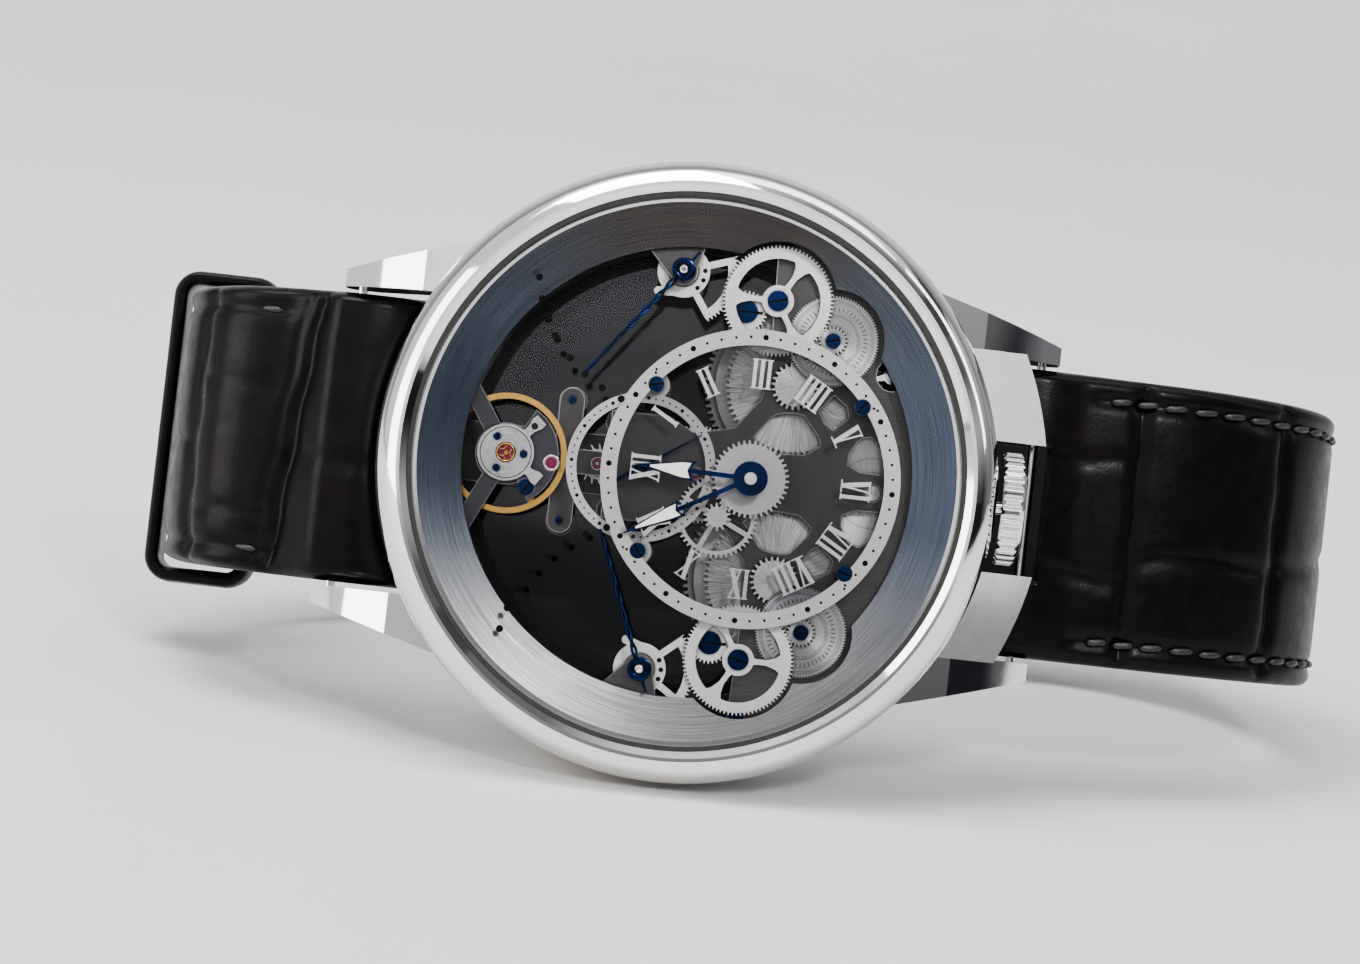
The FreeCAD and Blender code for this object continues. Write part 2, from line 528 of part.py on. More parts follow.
def make_spring_bars():
    """Two lug bars and the buckle's bar, each a thin pin along Y."""
    places = (("bar_x", "bar_height", "bar_length"), ("-bar_x", "bar_height", "bar_length"),
              ("buckle_x", str(buckle_bar_height()), "2 * buckle_outer_half - 0.6"))
    bars = []
    for number, (x, height, length) in enumerate(places, start=1):
        bar = doc.addObject("Part::Cylinder", "spring_bar_%d" % number)
        bind(bar, Radius="bar_radius - 0.02", Height=length, x=x, y="-(%s) / 2" % length, z=height)
        bar.Placement.Rotation = FreeCAD.Rotation(Vector(1, 0, 0), -90)
        bars.append(bar)
    keep("spring_bars", gathered("spring_bars", bars))


# ---- strap and buckle --------------------------------------------------------------------------


def heading(degrees):
    return Vector(math.cos(math.radians(degrees)), math.sin(math.radians(degrees)), 0)


def strap_walk(side, lead, slope, bend, drop, turn):
    """Corners of a strap half's inner face in the XZ plane: lead, bend down, drop, turn inwards.

    side is 1 for the half at 6 o'clock and -1 for the half at 12 o'clock.
    """
    start = Vector(size("bar_x"), size("bar_height - strap_thickness / 2"), 0)
    after_lead = start + heading(-slope) * lead
    tilt = math.radians(slope)
    after_bend = after_lead + Vector(bend * (1 - math.sin(tilt)), -bend * math.cos(tilt), 0)
    after_drop = after_bend - Vector(0, drop, 0)
    after_turn = after_drop - Vector(turn, turn, 0)
    walk = [(start, 0), (after_lead, -side * bend), (after_bend, 0), (after_drop, -side * turn),
            (after_turn, 0)]
    if drop == 0:
        walk.pop(2)
    return [(Vector(side * point.x, point.y, 0), curve) for point, curve in walk]


def buckle_side_walk():
    return strap_walk(-1, size("buckle_side_lead"), size("buckle_side_slope"), size("buckle_side_bend"),
                      size("buckle_side_drop"), size("buckle_side_turn"))


def hole_side_walk():
    """The long half runs behind the short one, so its last bend takes up what height is left."""
    lead, slope, bend = size("hole_side_lead"), size("hole_side_slope"), size("hole_side_bend")
    short_back = buckle_side_walk()[-1][0].y - size("strap_thickness + layer_gap")
    tilt = math.radians(slope)
    bend_end = size("bar_height - strap_thickness / 2") - lead * math.sin(tilt) - bend * math.cos(tilt)
    return strap_walk(1, lead, slope, bend, 0.0, bend_end - short_back)


def buckle_bar_height():
    """The buckle's bar lies in the middle of the short half's thickness."""
    return buckle_side_walk()[-1][0].y - size("strap_thickness / 2")


def path_edge(start, end, curve):
    """A straight or arched edge; curve is its signed radius, positive when it turns left."""
    if curve == 0:
        return Part.LineSegment(start, end).toShape()
    chord = end - start
    left = Vector(-chord.y, chord.x, 0).normalize()
    rise = math.sqrt(max(curve * curve - (chord.Length / 2) ** 2, 0.0))
    centre = (start + end) / 2 + left * math.copysign(rise, curve)
    middle = centre - left * math.copysign(abs(curve), curve)
    return Part.Arc(start, middle, end).toShape()


def stood_up(shape):
    """Turn a shape drawn in XY so that its Y axis points along Z."""
    shape.rotate(Vector(0, 0, 0), Vector(1, 0, 0), 90)
    return shape


def strap_half(walk, end_x):
    """A strap half: its inner face's path thickened outwards, at full lug width."""
    last = walk[-1][0]
    points = walk[:-1] + [(last, 0), (Vector(end_x, last.y, 0), 0)]
    edges = [path_edge(start, end, curve) for (start, curve), (end, _) in zip(points, points[1:])]
    side = 1 if walk[0][0].x > 0 else -1
    band = Part.Wire(edges).makeOffset2D(-side * size("strap_thickness"), 0, True, True)
    half = size("strap_top_half")
    solid = stood_up(band.extrude(Vector(0, 0, 2 * half)))
    solid.translate(Vector(0, half, 0))
    return solid


def strap_taper():
    """A tall wedge that narrows from the lugs to the buckle at the back of the wrist."""
    top, bottom = size("bar_height + 4"), strap_back_height() - size("2 * strap_thickness")
    wide, narrow = size("strap_top_half"), size("strap_back_half")
    reach = size("2 * case_radius + 20")
    corners = [Vector(-reach, -wide, top), Vector(-reach, wide, top), Vector(-reach, narrow, bottom),
               Vector(-reach, -narrow, bottom)]
    face = Part.Face(Part.makePolygon(corners + corners[:1]))
    return face.extrude(Vector(2 * reach, 0, 0))


def strap_back_height():
    return hole_side_walk()[-1][0].y


def lying_y(radius, length, x, z):
    """A rod along Y, centred on the strap's middle line."""
    return Part.makeCylinder(radius, length, Vector(x, -length / 2, z), Vector(0, 1, 0))


def make_strap():
    """Both strap halves, closed into the loop that the buckle holds."""
    taper = strap_taper()
    bar_x, bar_z = size("bar_x"), size("bar_height")
    notch = Part.makeBox(size("crown_notch_end - case_radius"), size("2 * crown_notch"), 20,
                         Vector(size("case_radius"), -size("crown_notch"), bar_z - 10))
    end_round = size("strap_end_radius")
    width = size("2 * strap_top_half")
    buckle_x, bar_back = size("buckle_x"), buckle_bar_height()
    short = strap_half(buckle_side_walk(), buckle_x).fuse(
        [lying_y(end_round, width, -bar_x, bar_z),
         lying_y(size("strap_thickness / 2"), width, buckle_x, bar_back)])
    slot = size("tongue_slot_half")
    slot_box = Part.makeBox(2 * size("strap_thickness"), 2 * slot, 2 * size("strap_thickness"),
                            Vector(buckle_x - 2.4, -slot, bar_back - size("strap_thickness")))
    bores = [lying_y(size("bar_hole"), width, -bar_x, bar_z),
             lying_y(size("bar_hole"), width, buckle_x, bar_back)]
    short = short.common(taper).cut(bores + [slot_box]).removeSplitter()
    keep("strap_buckle_half", shaped("strap_buckle_half", short))
    long = strap_half(hole_side_walk(), size("strap_tail_end")).fuse(lying_y(end_round, width, bar_x, bar_z))
    tools = [lying_y(size("bar_hole"), width, bar_x, bar_z), notch, tail_trim()] + tail_holes()
    long = long.common(taper).cut(tools).removeSplitter()
    keep("strap_hole_half", shaped("strap_hole_half", long))


def tail_holes():
    """Round holes along the long half; the one in use is drawn out by the tongue."""
    base, radius = strap_back_height() - size("strap_thickness") - 1, size("tongue_hole_radius")
    tall, used_x = size("strap_thickness") + 2, size("buckle_x + tongue_hole_x")
    holes = []
    for number in range(-2, int(size("tail_holes")) - 2):
        x = used_x + number * size("tail_hole_pitch")
        holes.append(Part.makeCylinder(radius, tall, Vector(x, 0, base)))
    half, near = size("tongue_width / 2 + 0.15"), size("tongue_hole_near")
    long = near + size("tongue_hole_far")
    holes.append(Part.makeBox(long, 2 * half, tall, Vector(used_x - near, -half, base)))
    return holes


def tail_trim():
    """What is cut off the tail's corners to leave a blunt point."""
    end, reach, half = size("strap_tail_end"), size("tail_point"), size("strap_top_half")
    height = strap_back_height() - size("strap_thickness") - 1
    trims = []
    for side in (1, -1):
        corners = [Vector(end - 1, side * half * 0.4, height), Vector(end + reach, side * (half + 1), height),
                   Vector(end - 1, side * (half + 1), height)]
        face = Part.Face(Part.makePolygon(corners + corners[:1]))
        trims.append(face.extrude(Vector(0, 0, size("strap_thickness") + 2)))
    return trims[0].fuse(trims[1])


def buckle_slope():
    """Tilt of the buckle frame, which dips under the tail from bar to cross rail."""
    drop = size("strap_thickness * 1.5 + layer_gap + buckle_thickness / 2 + buckle_clearance")
    return math.degrees(math.asin(drop / size("buckle_length - buckle_rail")))


def make_buckle():
    """Frame with eyes for its bar, and the tongue that turns on the bar."""
    x, z = size("buckle_x"), buckle_bar_height()
    body = new_body("buckle_frame")
    outer, inner = "buckle_outer_half", "buckle_inner_half"
    frame = [("0", "-" + outer), ("buckle_length - 2", "-" + outer),
             ("buckle_length", "-%s + 2" % outer, "14"),
             ("buckle_length", "%s - 2" % outer), ("buckle_length - 2", outer), ("0", outer),
             ("0", inner), ("buckle_length - buckle_rail", inner),
             ("buckle_length - buckle_rail", "-" + inner), ("0", "-" + inner)]
    add_pad(body, "frame_plate", "-buckle_thickness / 2", "buckle_thickness / 2", outlines=[frame])
    for side, low, high in (("right", inner, outer), ("left", "-" + outer, "-" + inner)):
        add_pad(body, "eye_" + side, "-(%s)" % high, "-(%s)" % low, role="XZ_Plane",
                circles=[("0", "0", "buckle_eye")])
    add_pocket(body, "eye_bore", "-buckle_outer_half - 1", "buckle_outer_half + 1", role="XZ_Plane",
               circles=[("0", "0", "bar_radius")])
    keep("buckle_frame", body)
    tilt = FreeCAD.Rotation(Vector(0, 1, 0), buckle_slope())
    nodes["buckle_frame"] = (body, FreeCAD.Placement(Vector(x, 0, z), tilt))
    bare = lying_y(size("bar_radius + 0.03"), size("2 * tongue_width"), 0, 0)
    tongue = lying_y(size("tongue_wrap"), size("tongue_width"), 0, 0).fuse(tongue_blade()).cut(bare)
    keep("buckle_tongue", shaped("buckle_tongue", tongue.removeSplitter()), x, 0, z)


def tongue_blade():
    """Bent blade: from its bar out through the strap's hole, then over the cross rail."""
    slope, thick = math.radians(buckle_slope()), size("tongue_thickness")
    reach = size("buckle_length + tongue_overhang")
    below = size("buckle_thickness / 2 + 0.1") / math.cos(slope)
    elbow = Vector(size("tongue_hole_x + 1"), -size("1.5 * strap_thickness + layer_gap + 0.3"), 0)
    tip = Vector(reach * math.cos(slope), -reach * math.sin(slope) - below, 0)
    near = Vector(0, size("tongue_wrap") - 0.1, 0)
    outline = [near, elbow, tip, tip - Vector(0, thick, 0), elbow - Vector(0.5, thick, 0),
               near - Vector(size("tongue_wrap") * 0.8, 1.4, 0)]
    face = Part.Face(Part.makePolygon(outline + outline[:1]))
    blade = stood_up(face.extrude(Vector(0, 0, size("tongue_width"))))
    blade.translate(Vector(0, size("tongue_width / 2"), 0))
    return blade


def keeper_loop(name, across, opening):
    """A leather loop: a rounded block, along its strap's run, with the strap's opening cut through."""
    wall, width = size("keeper_wall"), size("keeper_width")
    outer = Part.makeBox(width, 2 * (across + wall), opening + 2 * wall,
                         Vector(-width / 2, -across - wall, -opening / 2 - wall))
    corner = size("keeper_corner")
    long_edges = [edge for edge in outer.Edges if abs(edge.Vertexes[0].X - edge.Vertexes[1].X) > width / 2]
    outer = outer.makeFillet(corner, long_edges)
    inner = Part.makeBox(width + 2, 2 * across, opening, Vector(-width / 2 - 1, -across, -opening / 2))
    return shaped(name, outer.cut(inner))


def make_keepers():
    """The sewn keeper beside the buckle and the loose one on the short half's bend."""
    play, thickness = size("keeper_play"), size("strap_thickness")
    both = 2 * thickness + size("layer_gap") + 2 * play
    middle = strap_back_height() + size("layer_gap / 2")
    fixed = keeper_loop("fixed_keeper", size("strap_back_half") + play + 0.1, both)
    keep("fixed_keeper", fixed, size("fixed_keeper_x"), 0, middle)
    room = thickness + size("free_keeper_room")
    free = keeper_loop("free_keeper", size("strap_top_half") + play, room)
    keep("free_keeper", free)
    outer_x = buckle_side_walk()[2][0].x - thickness - size("free_keeper_room") + size("loose_play")
    upright = FreeCAD.Rotation(Vector(0, 1, 0), 90)
    place = Vector(outer_x + room / 2, 0, size("free_keeper_height"))
    nodes["free_keeper"] = (free, FreeCAD.Placement(place, upright))


# ---- plates and bridges ------------------------------------------------------------------------


def make_main_plate():
    """Open plate under the train: rim, middle beam, barrel seats and the pillars."""
    low, high = size("plate_bottom"), size("plate_top")
    rim = disc(size("movement_radius"), low, high).cut(disc(size("plate_rim"), low, high))
    reach, half = size("plate_rim + 0.5"), size("beam_half")
    beam = Part.makeBox(2 * reach, 2 * half, high - low, Vector(-reach, -half, low))
    parts = [beam, disc(size("seconds_ring_inner - 1.2"), low, high, size("seconds_x"))]
    barrel_x, barrel_y = size("barrel_x"), size("barrel_y")
    for side in (1, -1):
        parts.append(disc(size("barrel_drum - 0.4"), low, high, barrel_x, side * barrel_y))
        spur = Part.makeBox(size("plate_rim"), 2.4, high - low, Vector(0, -1.2, low))
        spur.rotate(Vector(0, 0, 0), Vector(0, 0, 1), side * 45)
        parts.append(spur)
        for x, y, radius, top in pillar_places():
            parts.append(disc(radius, high, top, x, side * y))
            parts.append(disc(radius + 0.5, low, high, x, side * y))
    plate = rim.fuse(parts)
    bores = [disc(0.5, low, high, barrel_x, side * barrel_y) for side in (1, -1)]
    bores += [disc(size("small_jewel_radius"), low, high, x) for x in arbor_places()]
    bores.append(disc(size("jewel_radius"), low, high, size("balance_x")))
    keep("main_plate", shaped("main_plate", plate.cut(bores).removeSplitter()))


def pillar_places():
    """Pillars on one side of the plate: x, y, radius and top."""
    bridge, small = size("bridge_low"), size("small_pillar_radius")
    return [(15.4, 8.5, size("pillar_radius"), bridge), (2.2, 17.1, size("pillar_radius"), bridge),
            (size("seconds_x") - 1.9, 3.25, small, bridge),
            (size("hour_x - ear_dx"), size("ear_dy"), small, size("seconds_ring_low")),
            (size("pallet_x") + 0.7, size("pallet_bridge_reach"), small, size("pallet_bridge_low"))]


def arbor_places():
    """X of the going train's arbors, which all stand on the watch's middle line."""
    return [size(alias) for alias in ("hour_x", "third_x", "seconds_x", "escape_x", "pallet_x")]


def make_train_bridge():
    """Bridge over barrels and train, with its windows and the beam to the fourth wheel."""
    body = new_body("train_bridge")
    edge_x = 4.8
    edge_y = "sqrt(bridge_radius^2 - %g^2)" % edge_x
    end = "seconds_x - 2.5"
    upper = [(edge_x, edge_y), (5.1, 8.6), (4.8, 5.9), (3.1, 3.6), (0.2, 2.9), (-1.6, 3.9), (end, 3.9),
             (end, 1.0)]
    lower = mirrored(upper, flip_y=True)[::-1]
    outline = lower + upper
    outline[len(lower) - 1] = lower[-1] + ("bridge_radius",)
    add_pad(body, "bridge_plate", "bridge_low", "bridge_high", outlines=[outline])
    windows = [
        [(4.5, 3.1), (5.2, 2.4), (6.4, 2.05), (8.4, 2.2), (9.4, 3.0), (9.2, 3.6), (8.0, 5.0, 3.4),
         (5.8, 4.8)],
        [(11.5, 2.6), (11.5, 1.8), (12.4, 1.4), (14.0, 1.35), (14.1, 3.3), (12.9, 4.0, 2.0), (12.0, 3.6)],
        [(9.5, 4.6), (10.2, 4.2), (11.2, 5.2), (11.0, 6.0), (10.0, 6.7), (9.0, 5.5)]]
    for number, window in enumerate(windows):
        add_pocket(body, "window_%d" % number, "bridge_low - 1", "bridge_high + 1",
                   outlines=[window, mirrored(window, flip_y=True)])
    minute_at = minute_wheel_centre()
    bores = [("hour_x", "0", "cannon_radius + 0.06"), ("third_x", "0", "small_jewel_radius"),
             ("seconds_x", "0", "small_jewel_radius"), ("barrel_x", "barrel_y", "cap_neck + 0.1"),
             ("barrel_x", "-barrel_y", "cap_neck + 0.1"), ("crown_wheel_x", "0", "0.62"),
             ("click_x", "click_y", "1.15"), (minute_at.x, minute_at.y, "minute_pivot + 0.04")]
    add_pocket(body, "bridge_bores", "bridge_low - 1", "bridge_high + 1", circles=bores)
    keep("train_bridge", body)


def rounded_bar(start, end, width, low, high):
    """A flat bar with round ends between two points."""
    run = end - start
    across = Vector(-run.y, run.x, 0).normalize() * (width / 2)
    corners = [start + across, start - across, end - across, end + across]
    face = Part.Face(Part.makePolygon([Vector(c.x, c.y, low) for c in corners + corners[:1]]))
    bar = face.extrude(Vector(0, 0, high - low))
    ends = [disc(width / 2, low, high, point.x, point.y) for point in (start, end)]
    return bar.fuse(ends)


def make_balance_bridge():
    """Wishbone over the balance, with a lobe towards the train and two arms on posts at the rim."""
    low, high = size("balance_bridge_low"), size("balance_bridge_high")
    width, centre = size("balance_arm_width"), Vector(size("balance_x"), 0, 0)
    parts = [disc(1.5, low, high, centre.x), bridge_lobe(centre, low, high)]
    for foot in (Vector(-16.4, 4.95, 0), Vector(-16.1, -6.3, 0)):
        parts.append(rounded_bar(centre, foot, width, low, high))
        parts.append(disc(width / 2, size("plate_top"), low, foot.x, foot.y))
    seats = [disc(size("jewel_radius"), low, high, centre.x),
             disc(size("small_jewel_radius"), low, high, size("lobe_jewel_x"), size("lobe_jewel_y")),
             disc(size("lobe_screw_radius") + 0.02, high - size("low_head") - 0.02, high,
                  size("lobe_screw_x"), size("lobe_screw_y"))]
    bridge = parts[0].fuse(parts[1:]).removeSplitter().cut(seats)
    keep("balance_bridge", shaped("balance_bridge", bridge))


def bridge_lobe(centre, low, high):
    """Part of a disc, facing the train."""
    radius, half = size("lobe_radius"), size("lobe_half_angle")
    rim = [polar(radius, half * (step / 16.0 - 1), low) for step in range(33)]
    outline = [centre + point for point in [Vector(0, 0, low)] + rim]
    return Part.Face(Part.makePolygon(outline + outline[:1])).extrude(Vector(0, 0, high - low))


def make_pallet_bridge():
    """Low bridge that carries the upper pivots of pallet fork and escape wheel."""
    low, high = size("pallet_bridge_low"), size("pallet_bridge_high")
    half, reach, x = size("pallet_bridge_half"), size("pallet_bridge_reach"), size("pallet_x")
    foot = [Vector(x + 0.7, side * reach, 0) for side in (1, -1)]
    bridge = rounded_bar(foot[0], foot[1], 2 * half, low, high).fuse(
        rounded_bar(Vector(x, 0, 0), Vector(size("escape_x"), 0, 0), 2 * half, low, high))
    bores = [disc(size("small_jewel_radius"), low, high, place) for place in (x, size("escape_x"))]
    keep("pallet_bridge", shaped("pallet_bridge", bridge.cut(bores).removeSplitter()))


COCK_EDGE = [(-5.0, 16.35), (-4.2, 17.3), (-0.6, 17.3), (-0.4, 16.3)]


def make_reserve_cocks():
    """Two small cocks that hold the pivots of the power reserve sectors at the rim."""
    low, high = size("cock_low"), size("cock_high")
    cocks = []
    for side in (1, -1):
        foot = Vector(size("cock_foot_x"), side * size("cock_foot_y"), 0)
        pivot = Vector(size("sector_x"), side * size("sector_y"), 0)
        inner = pivot + polar(size("cock_end"), -135 * side, low)
        outer = pivot + polar(size("cock_end"), 15 * side, low)
        blade = [inner] + [Vector(x, side * y, low) for x, y in COCK_EDGE] + [outer]
        arm = Part.Face(Part.makePolygon(blade + blade[:1])).extrude(Vector(0, 0, high - low))
        end = disc(size("cock_end"), low, high, pivot.x, pivot.y)
        post = disc(size("cock_post"), size("plate_top"), low, foot.x, foot.y)
        bore = disc(size("cock_bore"), low, high, pivot.x, pivot.y)
        cocks.append(arm.fuse([end, post]).removeSplitter().cut(bore))
    keep("reserve_cocks", shaped("reserve_cocks", Part.makeCompound(cocks)))


# ---- dial side ---------------------------------------------------------------------------------


def make_rings():
    """Minute and small seconds rings, screwed together at their ears."""
    hour = new_body("hour_ring")
    ears = [("hour_x + %s * ear_dx" % along, "%s * ear_dy" % side) for along in (1, -1) for side in (1, -1)]
    add_pad(hour, "ring", "hour_ring_low", "hour_ring_high", circles=[("hour_x", "0", "hour_ring_outer")])
    for number, (x, y) in enumerate(ears):
        add_pad(hour, "ear_%d" % number, "hour_ring_low", "hour_ring_high", circles=[(x, y, "ear_radius")])
        bottom = "bridge_high" if number < 2 else "seconds_ring_high"
        add_pad(hour, "ear_post_%d" % number, bottom, "hour_ring_low",
                circles=[(x, y, "small_pillar_radius")])
    add_pocket(hour, "ring_opening", "hour_ring_low", "hour_ring_high + 1",
               circles=[("hour_x", "0", "hour_ring_inner")])
    for number, (x, y) in enumerate(ears):
        add_pocket(hour, "ear_seat_%d" % number, "hour_ring_high - 0.12", "hour_ring_high + 0.5",
                   circles=[(x, y, "ear_screw_radius + 0.02")])
    keep("hour_ring", hour)
    seconds = new_body("seconds_ring")
    add_pad(seconds, "ring", "seconds_ring_low", "seconds_ring_high",
            circles=[("seconds_x", "0", "seconds_ring_outer")])
    for number, side in enumerate((1, -1)):
        add_pad(seconds, "ear_%d" % number, "seconds_ring_low", "seconds_ring_high",
                circles=[("hour_x - ear_dx", "%d * ear_dy" % side, "ear_radius")])
    add_pocket(seconds, "ring_opening", "seconds_ring_low - 1", "seconds_ring_high + 1",
               circles=[("seconds_x", "0", "seconds_ring_inner")])
    keep("seconds_ring", seconds)


def make_hour_dial():
    bores = [cylinder("dial_bore", "dial_bore", "dial_low - 1", "hour_ring_low + 1")]
    for along in (1, -1):
        for side in (1, -1):
            bores.append(cylinder("post_hole", "small_pillar_radius + 0.05", "dial_low - 1",
                                  "hour_ring_low + 1", "%d * ear_dx" % along, "%d * ear_dy" % side))
    dial = cut("hour_dial", cylinder("dial_disc", "dial_radius", "dial_low", "hour_ring_low"),
               fused("dial_bores", bores))
    keep("hour_dial", dial, size("hour_x"))


def stroke(foot_x, head_x, width):
    """One stroke of a Roman figure, from its foot towards the rim of the dial."""
    low, high = size("numeral_inner"), size("numeral_outer")
    corners = [Vector(low, foot_x - width / 2, 0), Vector(low, foot_x + width / 2, 0),
               Vector(high, head_x + width / 2, 0), Vector(high, head_x - width / 2, 0)]
    face = Part.Face(Part.makePolygon(corners + corners[:1]))
    return face.extrude(Vector(0, 0, size("numeral_top - hour_ring_low")))


def serif(middle, half):
    """The two thin caps that end a stroke."""
    thick, tall = size("numeral_serif"), size("numeral_top - hour_ring_low")
    low, high = size("numeral_inner"), size("numeral_outer")
    return [Part.makeBox(thick, 2 * half, tall, Vector(start, middle - half, 0))
            for start in (low, high - thick)]


def roman_figure(text):
    """Strokes of one Roman figure, centred on the X axis and read from the dial's centre."""
    pitch, heavy, light = size("numeral_pitch"), size("numeral_heavy"), size("numeral_light")
    widths = {"I": pitch, "V": 1.9 * pitch, "X": 1.9 * pitch}
    place = sum(widths[letter] for letter in text) / 2
    strokes = []
    for letter in text:
        middle = place - widths[letter] / 2
        place -= widths[letter]
        lean = 0.62 * pitch
        if letter == "I":
            strokes.append(stroke(middle, middle, 0.8 * heavy))
        elif letter == "V":
            strokes.append(stroke(middle, middle + lean, heavy))
            strokes.append(stroke(middle, middle - lean, light))
        else:
            strokes.append(stroke(middle - lean, middle + lean, heavy))
            strokes.append(stroke(middle + lean, middle - lean, light))
        strokes += serif(middle, widths[letter] * 0.46)
    return strokes[0].fuse(strokes[1:]).removeSplitter()


def make_numerals():
    figures = []
    for hour, text in enumerate(("XII", "I", "II", "III", "IIII", "V", "VI", "VII", "VIII", "IX", "X", "XI")):
        figure = roman_figure(text)
        figure.rotate(Vector(0, 0, 0), Vector(0, 0, 1), 180 - 30 * hour)
        figure.translate(Vector(size("hour_x"), 0, size("hour_ring_low")))
        figures.append(figure)
    keep("hour_numerals", shaped("hour_numerals", Part.makeCompound(figures)))


def make_hand(label, low, high, length, hub, bore, arrow_start, arrow_half, turn):
    """A hand with a thin stem and a long arrow, drawn along X from its hub."""
    body = new_body(label)
    stem = "hand_stem"
    half = [("0.2", stem), ("%s + arrow_notch" % arrow_start, stem), (arrow_start, arrow_half)]
    other = mirrored(half, flip_y=True)[::-1]
    add_pad(body, label + "_blade", low, high, outlines=[half + [(length, "0")] + other])
    add_pad(body, label + "_hub", low, high, circles=[("0", "0", hub)])
    add_pocket(body, label + "_bore", "%s - 1" % low, "%s + 1" % high, circles=[("0", "0", bore)])
    keep(label, body, size("hour_x"), 0, 0, size(turn))


def make_hands():
    make_hand("hour_hand", "hour_hand_low", "hour_hand_high", "hour_hand_length", "hour_hub_radius",
              "hour_pipe", "hour_arrow_start", "hour_arrow_half", "hour_hand_turn")
    make_hand("minute_hand", "minute_hand_low", "minute_hand_high", "minute_hand_length",
              "minute_hub_radius", "cannon_radius", "minute_arrow_start", "minute_arrow_half",
              "minute_hand_turn")
    body = new_body("seconds_hand")
    blade = [("-seconds_hand_tail", "-0.16"), ("seconds_hand_length", "-0.04"),
             ("seconds_hand_length", "0.04"), ("-seconds_hand_tail", "0.16")]
    low, high = "seconds_hand_low", "seconds_hand_high"
    add_pad(body, "seconds_blade", low, high, outlines=[blade])
    add_pad(body, "seconds_hub", low, high, circles=[("0", "0", "seconds_hub_radius")])
    keep("seconds_hand", body, size("seconds_x"), 0, 0, size("seconds_hand_turn"))


# ---- winding and going train -------------------------------------------------------------------


def make_crown():
    """Fluted crown, drawn standing on its inner face and laid along X."""
    body = new_body("crown")
    profile = [("0", "0"), ("crown_radius - 0.25", "0"), ("crown_radius", "0.25"),
               ("crown_radius", "crown_length - 0.35"), ("crown_radius - 0.35", "crown_length"),
               ("crown_skirt", "crown_length"), ("0", "crown_length + crown_dome")]
    add_turning(body, "crown_blank", "Revolution", profile)
    flute = add_pocket(body, "flute", "-1", "crown_length + 1",
                       circles=[("crown_radius + 0.1", "0", "crown_flute_radius")])
    doc.recompute()
    pattern = body.newObject("PartDesign::PolarPattern", "flutes")
    pattern.Originals = [flute]
    pattern.Axis = (flute.Profile[0], ["N_Axis"])
    pattern.Angle = 360
    bind(pattern, Occurrences="crown_flutes")
    body.Tip = pattern
    place_along_x("crown", body, "crown_start")


def place_along_x(label, thing, start):
    """Lay a piece drawn along Z on the stem's axis."""
    keep(label, thing)
    lay = FreeCAD.Rotation(Vector(0, 1, 0), 90)
    place = FreeCAD.Placement(Vector(size(start), 0, size("stem_height")), lay)
    nodes[label] = (thing, place)


def make_keyless():
    """Winding stem and the pinion on its square."""
    start = size("stem_inner_end")
    shoulder = size("bore_radius - 0.6") - start
    end = size("crown_start") - start
    stem = disc(size("square_radius"), 0, shoulder).fuse(disc(size("stem_radius"), shoulder, end))
    place_along_x("winding_stem", shaped("winding_stem", stem.removeSplitter()), "stem_inner_end")
    pinion = toothed_disc(size("winding_pinion_teeth"), size("winding_pinion_radius"), 0,
                          size("pinion_length")).cut(disc(size("square_radius + 0.01"), 0, 5))
    place_along_x("winding_pinion", shaped("winding_pinion", pinion), "pinion_start")


def winding_module():
    reach = math.hypot(size("crown_wheel_x - barrel_x"), size("barrel_y"))
    return 2 * reach / size("ratchet_teeth + crown_wheel_teeth")


def make_winding_wheels():
    """Crown wheel and both ratchets, in mesh; each ratchet carries its barrel's arbor and cap wheel."""
    low, high = size("ratchet_low"), size("ratchet_high")
    crown_at = Vector(size("crown_wheel_x"), 0, 0)
    crown_radius = winding_module() * size("crown_wheel_teeth") / 2
    crown = toothed_disc(size("crown_wheel_teeth"), crown_radius, low, high)
    crown = crown.cut(disc(2.6, high - 0.08, high + 1).cut(disc(1.5, high - 0.2, high + 2)))
    crown = crown.fuse(disc(0.55, high, size("bridge_high") - 0.1))
    keep("crown_wheel", shaped("crown_wheel", crown), crown_at.x)
    ratchet_radius = winding_module() * size("ratchet_teeth") / 2
    for name, side in (("upper", 1), ("lower", -1)):
        at = Vector(size("barrel_x"), side * size("barrel_y"), 0)
        turn = meshed_turn(crown_at, size("crown_wheel_teeth"), 0, at, size("ratchet_teeth"))
        wheel = toothed_disc(size("ratchet_teeth"), ratchet_radius, low, high)
        neck = disc(size("cap_neck"), high, size("cap_wheel_low"))
        cap = toothed_disc(size("cap_wheel_teeth"), size("cap_wheel_radius"), size("cap_wheel_low"),
                           size("cap_wheel_high"))
        arbor = disc(size("barrel_arbor"), size("barrel_gear_low"), low)
        foot = disc(0.45, size("plate_bottom"), size("barrel_gear_low"))
        ratchet = wheel.fuse([neck, cap, arbor, foot])
        label = name + "_ratchet_wheel"
        keep(label, shaped(label, ratchet), at.x, at.y, 0, turn)


